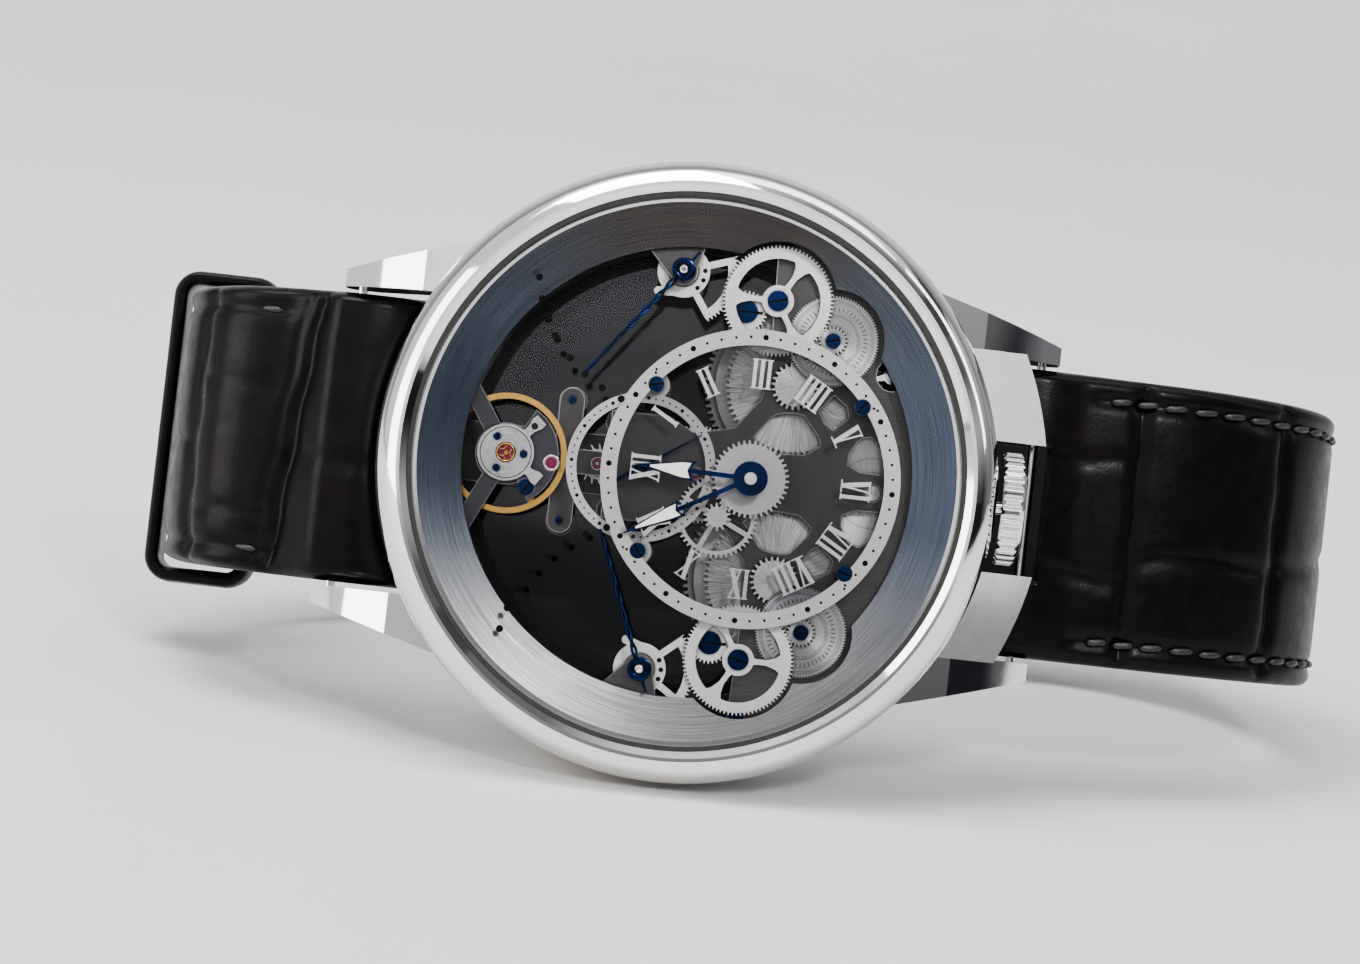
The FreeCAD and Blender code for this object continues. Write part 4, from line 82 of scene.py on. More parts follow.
class Paint:
    """Small sums of shader nodes in a material's or the world's tree."""

    def __init__(self, tree):
        self.tree = tree

    def add(self, kind, **settings):
        node = self.tree.nodes.new(kind)
        for key, value in settings.items():
            setattr(node, key, value)
        return node

    def feed(self, socket, value):
        if isinstance(value, bpy.types.NodeSocket):
            self.tree.links.new(value, socket)
        elif value is not None:
            socket.default_value = value

    def sum(self, operation, first, second=None, third=None):
        node = self.add("ShaderNodeMath", operation=operation)
        for socket, value in zip(node.inputs, (first, second, third)):
            self.feed(socket, value)
        return node.outputs[0]

    def vector(self, operation, first, second=None):
        node = self.add("ShaderNodeVectorMath", operation=operation)
        self.feed(node.inputs[0], first)
        self.feed(node.inputs[1], second)
        return node.outputs["Value" if operation in ("DOT_PRODUCT", "LENGTH") else "Vector"]

    def join(self, x, y, z=0.0):
        node = self.add("ShaderNodeCombineXYZ")
        for socket, value in zip(node.inputs, (x, y, z)):
            self.feed(socket, value)
        return node.outputs[0]

    def place(self):
        return self.add("ShaderNodeTexCoord").outputs["Object"]

    def plane(self, x, y):
        """Dial-frame X, Y and Z in millimetres from a centre."""
        offset = self.vector("SUBTRACT", self.place(), tuple(row_point(x, y, 0)))
        return [self.vector("DOT_PRODUCT", offset, tuple(axis / MM)) for axis in (AXIS_X, AXIS_Y, AXIS_Z)]

    def polar(self, x, y):
        """Radius in millimetres, and the unit direction, about a centre."""
        u, v, _ = self.plane(x, y)
        flat = self.join(u, v)
        direction = self.add("ShaderNodeSeparateXYZ")
        self.feed(direction.inputs[0], self.vector("NORMALIZE", flat))
        return self.vector("LENGTH", flat), direction.outputs[0], direction.outputs[1]

    def noise(self, vector, scale, detail, roughness):
        node = self.add("ShaderNodeTexNoise")
        self.feed(node.inputs["Vector"], vector)
        node.inputs["Scale"].default_value = scale
        node.inputs["Detail"].default_value = detail
        node.inputs["Roughness"].default_value = roughness
        return node.outputs[0]

    def spread(self, value, low, high, to_low, to_high):
        node = self.add("ShaderNodeMapRange")
        self.feed(node.inputs[0], value)
        for socket, number in zip(node.inputs[1:5], (low, high, to_low, to_high)):
            socket.default_value = number
        return node.outputs[0]

    def mix(self, share, first, second):
        node = self.add("ShaderNodeMix", data_type="RGBA")
        self.feed(node.inputs[0], share)
        self.feed(node.inputs[6], rgba(first))
        self.feed(node.inputs[7], rgba(second))
        return node.outputs[2]

    def bump(self, height, strength, distance):
        node = self.add("ShaderNodeBump")
        node.inputs["Strength"].default_value = strength
        node.inputs["Distance"].default_value = distance
        self.feed(node.inputs["Height"], height)
        return node.outputs[0]

    def edges(self, radius):
        """1 beside sharp edges, 0 on open faces."""
        bevel = self.add("ShaderNodeBevel", samples=4)
        bevel.inputs["Radius"].default_value = radius * MM
        flat = self.add("ShaderNodeNewGeometry").outputs["Normal"]
        return self.spread(self.vector("DOT_PRODUCT", bevel.outputs[0], flat), 0.9995, 0.93, 0.0, 1.0)

    def painted_shade(self, colour, reach, share, low=0.35, high=0.95):
        """Painted shade: darkens a tone in corners and close beside taller parts."""
        shelter = self.add("ShaderNodeAmbientOcclusion", samples=6)
        shelter.inputs["Distance"].default_value = reach * MM
        open_share = self.spread(shelter.outputs["AO"], low, high, 1.0 - share, 1.0)
        return self.mix(open_share, (0.004, 0.004, 0.005), colour)


class Finish(Paint):
    """A material, painted on the piece's own rest coordinates."""

    def __init__(self, name):
        self.material = bpy.data.materials.new(name)
        self.material.use_nodes = True
        super().__init__(self.material.node_tree)
        self.tree.nodes.clear()
        self.output = self.add("ShaderNodeOutputMaterial")

    def surface(self, colour, roughness, normal, metallic=1.0, tangent=None, **fixed):
        shader = self.add("ShaderNodeBsdfPrincipled")
        self.feed(shader.inputs["Base Color"], colour)
        self.feed(shader.inputs["Roughness"], roughness)
        self.feed(shader.inputs["Normal"], normal)
        self.feed(shader.inputs["Tangent"], tangent)
        shader.inputs["Metallic"].default_value = metallic
        for key, value in fixed.items():
            shader.inputs[key.replace("_", " ")].default_value = value
        self.tree.links.new(shader.outputs[0], self.output.inputs[0])
        return shader


def shades(colour, factor):
    return tuple(channel * factor for channel in colour)


def polished(name, colour, roughness=0.05, wear=0.06):
    """Mirror polish with hairline scratches and a soft unevenness."""
    paint = Finish(name)
    fine = paint.noise(paint.place(), 900.0, 3.0, 0.6)
    broad = paint.noise(paint.place(), 60.0, 2.0, 0.5)
    stretched = paint.add("ShaderNodeMapping")
    paint.feed(stretched.inputs[0], paint.place())
    stretched.inputs["Rotation"].default_value = (0.4, 0.9, 0.3)
    stretched.inputs["Scale"].default_value = (300.0, 9000.0, 2500.0)
    hairline = paint.noise(stretched.outputs[0], 1.0, 2.0, 0.5)
    marks = paint.spread(hairline, 0.66, 0.8, 0.0, 1.0)
    rough = paint.sum("MULTIPLY_ADD", marks, wear, paint.spread(fine, 0.3, 0.8, roughness, roughness * 1.7))
    tone = paint.mix(broad, shades(colour, 0.93), colour)
    paint.surface(tone, rough, paint.bump(broad, 0.05, 0.00005))
    return paint.material


def brushed(name, colour, style, lines, contrast, centre=(0.0, 0.0), roughness=0.32, anisotropic=0.55,
            edge=None, edge_radius=0.1, angle=0.0, grain_depth=0.00001, painted_shade=0.9, crisp=0.25):
    """Satin metal brushed in circles, as rays, or straight, with optional bevelled edges polished smoother and
    painted bright as a highlight, and painted shade in corners.
    """
    paint = Finish(name)
    radius, cosine, sine = paint.polar(*centre)
    if style == "circles":
        grain = paint.join(paint.sum("MULTIPLY", radius, lines), paint.sum("MULTIPLY", cosine, 1.6),
                           paint.sum("MULTIPLY", sine, 1.6))
    elif style == "rays":
        grain = paint.join(paint.sum("MULTIPLY", cosine, lines * 6), paint.sum("MULTIPLY", sine, lines * 6),
                           paint.sum("MULTIPLY", radius, 0.5))
    else:
        u, v, _ = paint.plane(*centre)
        along = paint.sum("ADD", paint.sum("MULTIPLY", u, math.cos(angle)),
                          paint.sum("MULTIPLY", v, math.sin(angle)))
        across = paint.sum("SUBTRACT", paint.sum("MULTIPLY", v, math.cos(angle)),
                           paint.sum("MULTIPLY", u, math.sin(angle)))
        grain = paint.join(paint.sum("MULTIPLY", along, 0.45), paint.sum("MULTIPLY", across, lines))
    streak = paint.noise(grain, 1.0, 3.0, 0.65)
    patch = paint.noise(paint.place(), 160.0, 2.0, 0.5)
    tone = paint.spread(streak, 0.5 - crisp, 0.5 + crisp, 1.0 - contrast, 1.0)
    base = paint.mix(paint.sum("MULTIPLY", tone, paint.spread(patch, 0.2, 0.8, 0.88, 1.0)),
                     shades(colour, 0.25), colour)
    rough = paint.spread(streak, 0.2, 0.8, roughness + 0.07, roughness - 0.05)
    # Painted highlight: the colour turns bright along bevelled edges; the lower roughness there is the real
    # polish.
    if edge is not None:
        rim = paint.edges(edge_radius)
        base = paint.mix(rim, base, edge)
        rough = paint.sum("SUBTRACT", rough, paint.sum("MULTIPLY", rim, roughness - 0.12))
    # Painted shade darkens the colour in corners and beside taller parts.
    paint.surface(paint.painted_shade(base, 0.35, painted_shade), rough, paint.bump(streak, 0.35, grain_depth),
                  tangent=brush_way(paint, style, centre, angle), Anisotropic=anisotropic)
    return paint.material


def brush_way(paint, style, centre, angle):
    """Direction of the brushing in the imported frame, as a socket, for the shader's tangent."""
    if style == "straight":
        way = AXIS_X * math.cos(angle) + AXIS_Y * math.sin(angle)
        nothing = paint.vector("SCALE", paint.add("ShaderNodeNewGeometry").outputs["Normal"])
        nothing.node.inputs["Scale"].default_value = 0.0
        return paint.vector("ADD", nothing, tuple(way))
    offset = paint.vector("SUBTRACT", paint.place(), tuple(row_point(*centre, 0)))
    ring = paint.vector("CROSS_PRODUCT", tuple(AXIS_Z), offset)
    if style == "circles":
        return paint.vector("NORMALIZE", ring)
    return paint.vector("NORMALIZE", paint.vector("CROSS_PRODUCT", ring, tuple(AXIS_Z)))


def blued(name):
    """Heat-blued steel: dark, glossy, drifting from navy to violet, with a painted highlight along its edges and
    painted shade in its slots and corners.
    """
    paint = Finish(name)
    drift = paint.noise(paint.place(), 420.0, 2.0, 0.5)
    fine = paint.noise(paint.place(), 5200.0, 2.0, 0.6)
    tone = paint.mix(paint.spread(drift, 0.35, 0.7, 0.0, 1.0), (0.003, 0.014, 0.055), (0.008, 0.036, 0.14))
    # Painted highlight: a lighter blue along the bevelled edges.
    rim = paint.edges(0.05)
    tone = paint.mix(paint.sum("MULTIPLY", rim, 0.7), tone, (0.05, 0.17, 0.45))
    # Painted shade darkens the blue in slots and corners.
    paint.surface(paint.painted_shade(tone, 0.2, 1.0, 0.78, 0.98), paint.spread(fine, 0.3, 0.8, 0.12, 0.22),
                  paint.bump(fine, 0.15, 0.000005), Coat_Weight=0.1, Coat_Roughness=0.08)
    return paint.material


def glass(name, tint, shine, ior, haze=0.0):
    """Thin clear or smoked glass: what is behind it shows, with a mirror's share at grazing angles."""
    paint = Finish(name)
    see = paint.add("ShaderNodeBsdfTransparent")
    smear = paint.noise(paint.place(), 70.0, 3.0, 0.6)
    colour = paint.mix(paint.spread(smear, 0.3, 0.7, 0.0, 1.0), tint, shades(tint, 0.94))
    paint.feed(see.inputs[0], colour)
    gloss = paint.add("ShaderNodeBsdfGlossy")
    gloss.inputs["Color"].default_value = rgba((shine, shine, shine * 1.05))
    paint.feed(gloss.inputs["Roughness"], paint.spread(smear, 0.3, 0.8, 0.02 + haze, 0.05 + haze))
    straight_on = ((ior - 1) / (ior + 1)) ** 2
    grazing = paint.sum("POWER", paint.add("ShaderNodeLayerWeight").outputs["Facing"], 5.0)
    both = paint.add("ShaderNodeMixShader")
    paint.feed(both.inputs[0], paint.sum("MULTIPLY_ADD", grazing, 1 - straight_on, straight_on))
    paint.feed(both.inputs[1], see.outputs[0])
    paint.feed(both.inputs[2], gloss.outputs[0])
    paint.tree.links.new(both.outputs[0], paint.output.inputs[0])
    return paint.material


def leather(name, colour, warm, roughness, pore):
    """Glossy calf or alligator: pores, fine creases and a warm cast where it is worn."""
    paint = Finish(name)
    place = paint.place()
    wear = paint.noise(place, 70.0, 3.0, 0.6)
    crease = paint.noise(place, 700.0, 4.0, 0.65)
    cells = paint.add("ShaderNodeTexVoronoi", feature="DISTANCE_TO_EDGE")
    paint.feed(cells.inputs["Vector"], place)
    cells.inputs["Scale"].default_value = 1500.0
    pits = paint.spread(cells.outputs["Distance"], 0.0, 0.12, 0.0, 1.0)
    height = paint.sum("ADD", paint.sum("MULTIPLY", crease, 0.8), paint.sum("MULTIPLY", pits, 0.25 * pore))
    tone = paint.mix(paint.spread(wear, 0.35, 0.75, 0.0, 1.0), colour, warm)
    rough = paint.spread(crease, 0.25, 0.75, roughness - 0.06, roughness + 0.14)
    paint.surface(tone, rough, paint.bump(height, 0.35, 0.00006), metallic=0.0,
                  Coat_Weight=0.03, Coat_Roughness=0.1, Specular_IOR_Level=0.15)
    return paint.material


def plain(name, colour, other, scale, roughness, **fixed):
    """A surface that isn't metal, with a mottled tone and a matching fine bump."""
    paint = Finish(name)
    grain = paint.noise(paint.place(), scale, 3.0, 0.6)
    paint.surface(paint.mix(grain, colour, other), paint.spread(grain, 0.2, 0.8, roughness, roughness + 0.12),
                  paint.bump(grain, 0.2, 0.00001), metallic=0.0, **fixed)
    return paint.material


def flange_grain_and_reflections():
    """Circular brushing, with painted reflections set by place round the ring: brown-grey towards 3 o'clock,
    blue-grey towards 12 and 6 o'clock, then silver towards 9 o'clock.
    """
    paint = Finish("flange_brushing_painted_reflections")
    radius, cosine, sine = paint.polar(0.0, 0.0)
    way = paint.join(paint.sum("MULTIPLY", cosine, 2.2), paint.sum("MULTIPLY", sine, 2.2),
                     paint.sum("MULTIPLY", radius, 9.0))
    streak = paint.noise(way, 1.0, 4.0, 0.7)
    # Painted reflections: the tone depends on place round the ring, standing in for what the sloped flange
    # mirrors.
    side = paint.spread(paint.sum("ABSOLUTE", cosine), 0.35, 0.95, 0.0, 1.0)
    tone = paint.mix(side, (0.085, 0.078, 0.074), (0.12, 0.15, 0.2))
    tone = paint.mix(paint.spread(sine, -0.15, -0.9, 0.0, 1.0), tone, (0.42, 0.415, 0.41))
    tone = paint.mix(paint.spread(streak, 0.3, 0.72, 0.62, 0.0), tone, (0.02, 0.02, 0.022))
    rough = paint.spread(streak, 0.2, 0.8, 0.4, 0.26)
    paint.surface(tone, rough, paint.bump(streak, 0.5, 0.00002),
                  tangent=brush_way(paint, "circles", (0.0, 0.0), 0.0), Anisotropic=0.75)
    return paint.material


def inward_painted_shade(name, colour, inner_shade):
    """Turned steel outside, with painted shade: nearly black where it faces the movement."""
    paint = Finish(name)
    radius, cosine, sine = paint.polar(0.0, 0.0)
    grain = paint.noise(paint.join(paint.sum("MULTIPLY", radius, 6.0), paint.sum("MULTIPLY", cosine, 1.6),
                                   paint.sum("MULTIPLY", sine, 1.6)), 1.0, 3.0, 0.65)
    flat = paint.add("ShaderNodeNewGeometry").outputs["Normal"]
    # Painted shade: faces turned towards the movement take the dark colour.
    facing = paint.spread(paint.vector("DOT_PRODUCT", flat, tuple(AXIS_Z)), -0.2, 0.2, 0.0, 1.0)
    tone = paint.mix(facing, paint.mix(grain, shades(colour, 0.8), colour), inner_shade)
    paint.surface(tone, paint.spread(grain, 0.2, 0.8, 0.34, 0.24), paint.bump(grain, 0.35, 0.00001))
    return paint.material


STEEL = (0.82, 0.81, 0.80)
SILVER = (0.80, 0.785, 0.77)
GREY = (0.15, 0.145, 0.142)
BRIGHT = (0.85, 0.84, 0.83)

steel = polished("steel_polish", STEEL)
steel_parts = polished("steel_parts", BRIGHT, 0.09, 0.1)
blue = blued("blued_steel_look")
plate = brushed("plate_grain", GREY, "straight", lines=7.0, contrast=0.4, roughness=0.4, edge=BRIGHT,
                edge_radius=0.11)
under_plate = brushed("main_plate_grain", (0.09, 0.087, 0.085), "circles", lines=4.0, contrast=0.4,
                      roughness=0.42, edge=(0.5, 0.5, 0.5))
balance_plate = brushed("balance_bridge_grain", (0.1, 0.098, 0.11), "straight", lines=9.0, contrast=0.45,
                        centre=(-13.1, 0.0), roughness=0.38, edge=BRIGHT, edge_radius=0.07, angle=0.35)
flange_metal = flange_grain_and_reflections()
ring_metal = brushed("ring_satin", (0.66, 0.645, 0.63), "straight", lines=6.0, contrast=0.12, roughness=0.36,
                     anisotropic=0.3, edge=(0.9, 0.9, 0.9), edge_radius=0.06, angle=0.5,
                     grain_depth=0.000002)
# The case back's inward faces get painted shade.
back_metal = inward_painted_shade("back_satin_painted_shade", STEEL, (0.03, 0.03, 0.032))
numeral_metal = polished("numeral_polish", (0.93, 0.92, 0.90), 0.12, 0.05)
wheel_metal = brushed("wheel_grain", SILVER, "straight", lines=8.0, contrast=0.25, roughness=0.33,
                      anisotropic=0.4, edge=BRIGHT, edge_radius=0.05, angle=1.2, grain_depth=0.000002)
under_glass = brushed("covered_wheel_grain", SILVER, "straight", lines=8.0, contrast=0.3, roughness=0.3,
                      anisotropic=0.4, edge=BRIGHT, edge_radius=0.05, angle=1.2, painted_shade=0.0)
spring_metal = polished("spring_steel_look", (0.55, 0.56, 0.6), 0.15, 0.1)
gilt = polished("gilt_look", (0.86, 0.53, 0.17), 0.18, 0.08)
ruby = plain("ruby_look", (0.1, 0.002, 0.03), (0.24, 0.006, 0.06), 1200.0, 0.05, Coat_Weight=0.15,
             Coat_Roughness=0.02)
front_glass = glass("front_glass", (0.99, 0.99, 0.995), 0.5, 1.18)
dial_glass = glass("dial_glass", (0.98, 0.98, 0.99), 0.4, 1.12)
smoked = glass("smoked_back", (0.1, 0.095, 0.1), 0.75, 1.75, 0.03)
rubber = plain("gasket_rubber", (0.01, 0.01, 0.01), (0.03, 0.03, 0.03), 2500.0, 0.5)
hide = leather("alligator_leather", (0.0028, 0.0027, 0.0032), (0.008, 0.0055, 0.005), 0.3, pore=0.6)
lining = leather("lining_leather", (0.008, 0.007, 0.0065), (0.016, 0.012, 0.01), 0.45, pore=1.0)
thread = plain("waxed_thread", (0.006, 0.006, 0.008), (0.03, 0.028, 0.03), 6000.0, 0.32)
ink = plain("black_ink", (0.0015, 0.0015, 0.002), (0.004, 0.004, 0.005), 3000.0, 0.6,
            Specular_IOR_Level=0.1)
lume = plain("lume_paint", (0.9, 0.89, 0.84), (0.98, 0.97, 0.92), 5000.0, 0.5)


def dress(material, *names):
    for name in names:
        mesh = nodes[name].data
        mesh.materials.clear()
        mesh.materials.append(material)


dress(steel, "case_middle", "bezel", "crown", "buckle_frame", "buckle_tongue", "case_back_screws")
dress(back_metal, "case_back")
dress(steel_parts, "spring_bars", "winding_stem", "winding_pinion", "click", "pallet_fork")
dress(plate, "train_bridge", "reserve_cocks", "pallet_bridge")
dress(under_plate, "main_plate")
dress(balance_plate, "balance_bridge")
dress(flange_metal, "inner_flange")
dress(ring_metal, "hour_ring", "seconds_ring")
dress(numeral_metal, "hour_numerals")
dress(blue, "hour_hand", "minute_hand", "seconds_hand", "movement_screws")
dress(wheel_metal, "third_wheel", "fourth_wheel", "escape_wheel")
dress(under_glass, "minute_wheel", "hour_wheel", "centre_wheel")
dress(spring_metal, "hairspring", "upper_mainspring", "lower_mainspring")
dress(gilt, "balance")
dress(ruby, "jewels")
dress(front_glass, "crystal")
dress(dial_glass, "hour_dial")
dress(smoked, "back_crystal")
dress(rubber, "crystal_gasket")
for side_name in ("upper", "lower"):
    dress(wheel_metal, *(side_name + part for part in ("_reserve_sector", "_idler_wheel", "_reserve_wheel")))
    barrel_at = joint_place(side_name + "_ratchet_turn")
    dress(brushed(side_name + "_ratchet_rays", SILVER, "rays", lines=14.0, contrast=0.85, centre=barrel_at,
                  roughness=0.3, anisotropic=0.7, crisp=0.13, edge=BRIGHT, edge_radius=0.05,
                  grain_depth=0.00003), side_name + "_ratchet_wheel")
    dress(brushed(side_name + "_barrel_rays", (0.5, 0.49, 0.48), "circles", lines=3.0, contrast=0.4,
                  centre=barrel_at, anisotropic=0.6), side_name + "_barrel")
    dress(brushed(side_name + "_snailing", (0.62, 0.61, 0.61), "circles", lines=8.0, contrast=0.6,
                  centre=joint_place(side_name + "_differential_turn"), roughness=0.28, anisotropic=0.7,
                  edge=BRIGHT, edge_radius=0.05), side_name + "_differential")
dress(brushed("crown_wheel_rays", SILVER, "rays", lines=5.0, contrast=0.5,
              centre=joint_place("crown_wheel_turn"), roughness=0.28, anisotropic=0.75, edge=BRIGHT,
              edge_radius=0.05), "crown_wheel")
dress(brushed("regulator_rings", (0.78, 0.77, 0.76), "circles", lines=6.0, contrast=0.3,
              centre=joint_place("regulator_shift"), roughness=0.2, anisotropic=0.6, edge=BRIGHT,
              edge_radius=0.06), "regulator")


# ---- pieces ------------------------------------------------------------------------------------

DOT_RISE = 0.02


def piece(name, points, faces, materials, body, marks=None, smooth=True):
    """A mesh piece from dial-frame points; marks says which material each face takes."""
    mesh = bpy.data.meshes.new(name)
    mesh.from_pydata(row_points(points).tolist(), [], [list(face) for face in faces])
    for material in materials:
        mesh.materials.append(material)
    if marks is not None:
        mesh.polygons.foreach_set("material_index", marks)
    mesh.polygons.foreach_set("use_smooth", [smooth] * len(mesh.polygons))
    mesh.update()
    made = bpy.data.objects.new(name, mesh)
    bpy.context.scene.collection.objects.link(made)
    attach(made, body)
    return made


def tube_faces(rings, around, start=0, closed=False):
    """Quads between successive rings of points.  A tube that isn't closed on itself gets both ends."""
    faces = []
    last = rings if closed else rings - 1
    for ring in range(last):
        low, high = start + ring * around, start + (ring + 1) % rings * around
        for step in range(around):
            beyond = (step + 1) % around
            faces.append((low + step, low + beyond, high + beyond, high + step))
    if not closed:
        faces.append(tuple(start + step for step in range(around))[::-1])
        faces.append(tuple(start + (rings - 1) * around + step for step in range(around)))
    return faces


def turned(x, y, profile, around=40):
    """Rings of a shape turned about the dial's upright: one for each radius and height of the profile."""
    angles = np.linspace(0, 2 * math.pi, around, endpoint=False)
    return [[(x + radius * math.cos(a), y + radius * math.sin(a), z) for a in angles]
            for radius, z in profile]


class Heap:
    """Many small closed shapes gathered into one mesh."""

    def __init__(self):
        self.points, self.faces, self.marks = [], [], []

    def tube(self, rings, mark=0, closed=False):
        """rings is an array of rings of points."""
        rings = np.asarray(rings, float)
        start = len(self.points)
        faces = tube_faces(rings.shape[0], rings.shape[1], start, closed)
        self.points.extend(rings.reshape(-1, 3).tolist())
        self.faces.extend(faces)
        self.marks.extend([mark] * len(faces))

    def dot(self, x, y, z, radius):
        """A low round dot with a softened rim."""
        profile = [(radius * share, z + DOT_RISE * lift)
                   for share, lift in ((0.97, 0), (1, 0.35), (0.93, 0.85), (0.75, 1))]
        self.tube(turned(x, y, profile, 20))

    def slab(self, outline, low, high, inset):
        """A flat shape with a small bevel round its top."""
        outline = np.asarray(outline, float)
        middle = outline.mean(0)
        reach = np.linalg.norm(outline - middle, axis=1, keepdims=True)
        inner = middle + (outline - middle) * (1 - inset / reach)
        self.tube([np.column_stack([shape, np.full(len(shape), height)])
                   for shape, height in ((outline, low), (outline, high - inset), (inner, high))])

    def build(self, name, materials, body, slot, smooth=True):
        return piece(name, self.points, self.faces, materials, body, self.marks, smooth)


def sweep(line, radius, square_to=(0.0, 0.0, 1.0)):
    """Rings of a round wire along a line of points that stays square to one direction, or nearly so."""
    way = np.gradient(line, axis=0)
    way /= np.linalg.norm(way, axis=1, keepdims=True)
    across = np.cross(way, square_to)
    across /= np.linalg.norm(across, axis=1, keepdims=True)
    lift = np.cross(across, way)
    angles = np.linspace(0, 2 * math.pi, 8, endpoint=False)
    radius = np.broadcast_to(radius, len(line))[:, None, None]
    return (line[:, None] + radius * (across[:, None] * np.cos(angles)[None, :, None]
                                      + lift[:, None] * np.sin(angles)[None, :, None]))


def smooth_step(value, low, high):
    share = np.clip((value - low) / (high - low), 0, 1)
    return share * share * (3 - 2 * share)


# ---- minute track, seconds track and reserve scales ----------------------------------------------


HOUR_TOP, SECONDS_X, SECONDS_TOP, CRYSTAL_UNDER = 0.2, -3.3, -0.9, 1.2
MINUTE_RADIUS, SECONDS_RADIUS, EAR_RADIUS, EAR_X, EAR_Y = 10.2, 5.02, 10.35, 7.45, 6.0
RESERVE_X, RESERVE_Y = joint_place("upper_reserve_turn")
SCALE_RADIUS, SCALE_START, SCALE_STEP, SCALE_DOTS = 10.36, 9.8, 8.7, 9


def track(centre_x, radius, height, small, large):
    """Sixty dots, every fifth one larger."""
    heap = Heap()
    for minute in range(60):
        angle = math.radians(6 * minute)
        heap.dot(centre_x + radius * math.cos(angle), radius * math.sin(angle), height,
                 small if minute % 5 else large)
    return heap


minutes = track(HOUR_X, MINUTE_RADIUS, HOUR_TOP, small=0.095, large=0.2)
for along in (1, -1):
    for across in (1, -1):
        angle = math.atan2(across * EAR_Y, along * EAR_X) - 0.075
        minutes.dot(HOUR_X + EAR_RADIUS * math.cos(angle), EAR_RADIUS * math.sin(angle), HOUR_TOP, 0.09)
minutes.build("minute_track", [ink], "case", "numeral_silver")
seconds = track(SECONDS_X, SECONDS_RADIUS, SECONDS_TOP, small=0.065, large=0.13)
seconds.build("seconds_track", [ink], "case", "numeral_silver")

scale = Heap()
for side in (1, -1):
    for number in range(SCALE_DOTS):
        angle = math.radians(180 + side * (SCALE_START + SCALE_STEP * number))
        scale.dot(RESERVE_X + SCALE_RADIUS * math.cos(angle),
                  side * RESERVE_Y + SCALE_RADIUS * math.sin(angle), CRYSTAL_UNDER - 0.03, 0.26)
scale.build("reserve_scale_dots", [ink], "case", "sapphire")


# ---- jewel settings ----------------------------------------------------------------------------

BRIDGE_TOP = -1.4
WIRE_SPAN, WIRE_POINTS, WIRE_REACH, WIRE_BOW, WIRE_RADIUS, WIRE_RISE = 38, 15, 0.5, 0.24, 0.032, 0.07
LOBE_JEWEL = (-9.75, -0.4)
SETTING = [(0.68, 0.0), (0.68, 0.24), (0.65, 0.28), (0.61, 0.28), (0.57, 0.2), (0.57, 0.0)]
CHATON = [(0.6, 0.0), (0.6, 0.005), (0.57, 0.014), (0.46, 0.014), (0.43, 0.005), (0.43, 0.0)]


def on_bridge(profile):
    return [(radius, BRIDGE_TOP + rise) for radius, rise in profile]


settings = Heap()
balance_x, balance_y = joint_place("balance_swing")
settings.tube(turned(balance_x, balance_y, on_bridge(SETTING)), 0, closed=True)
for turn in (0, 120, 240):
    angles = np.radians(turn + np.linspace(-WIRE_SPAN, WIRE_SPAN, WIRE_POINTS))
    reach = WIRE_REACH - WIRE_BOW * np.cos(np.linspace(-math.pi / 2, math.pi / 2, WIRE_POINTS)) ** 2
    line = np.column_stack([balance_x + reach * np.cos(angles), balance_y + reach * np.sin(angles),
                            np.full(WIRE_POINTS, BRIDGE_TOP + WIRE_RISE)])
    settings.tube(sweep(line, WIRE_RADIUS), 0)
settings.tube(turned(*LOBE_JEWEL, on_bridge(CHATON)), 1, closed=True)
settings.build("jewel_settings", [gilt, steel_parts], "case", "gilt")


# ---- painted shade in the screw slots ----------------------------------------------------------

SLOT_DEPTH, SLOT_SLACK, SLOT_CORNERS = 0.09, 0.02, 12


def islands(points, polygons):
    """Groups of points that share polygons."""
    leader = list(range(len(points)))

    def find(index):
        while leader[index] != index:
            leader[index] = leader[leader[index]]
            index = leader[index]
        return index

    for corners in polygons:
        for corner in corners[1:]:
            leader[find(corner)] = find(corners[0])
    groups = {}
    for index in range(len(points)):
        groups.setdefault(find(index), []).append(index)
    return [points[members] for members in groups.values()]


def painted_slot_shade(name):
    """Painted shade: dark ink floors in the slots of the blued screws.

    A screw with more points at the slot's depth than a slot has is a thin head, and stays as it is.
    """
    mesh = nodes[name].data
    corners = np.array([vertex.co for vertex in mesh.vertices])
    spots = (corners - np.array(ORIGIN)) / MM @ BASIS.T
    welded, places = np.unique(np.round(spots, 3), axis=0, return_inverse=True)
    places = places.reshape(-1)
    heap = Heap()
    for screw in islands(welded, [[places[v] for v in face.vertices] for face in mesh.polygons]):
        low = screw[:, 2].max() - SLOT_DEPTH
        floor = screw[np.abs(screw[:, 2] - low) < SLOT_SLACK][:, :2]
        if not 4 <= len(floor) <= SLOT_CORNERS:
            continue
        middle = floor.mean(0)
        ways = np.linalg.svd(floor - middle)[2]
        long, wide = np.abs((floor - middle) @ ways.T).max(0) * (0.93, 0.9)
        outline = [middle + ways[0] * long * along + ways[1] * wide * across
                   for along, across in ((-1, -1), (1, -1), (1, 1), (-1, 1))]
        heap.slab(outline, low, low + 0.012, 0.004)
    heap.build(name + "_slot_shade", [ink], "case", "blued_steel", smooth=False)


painted_slot_shade("movement_screws")


# ---- hands -------------------------------------------------------------------------------------


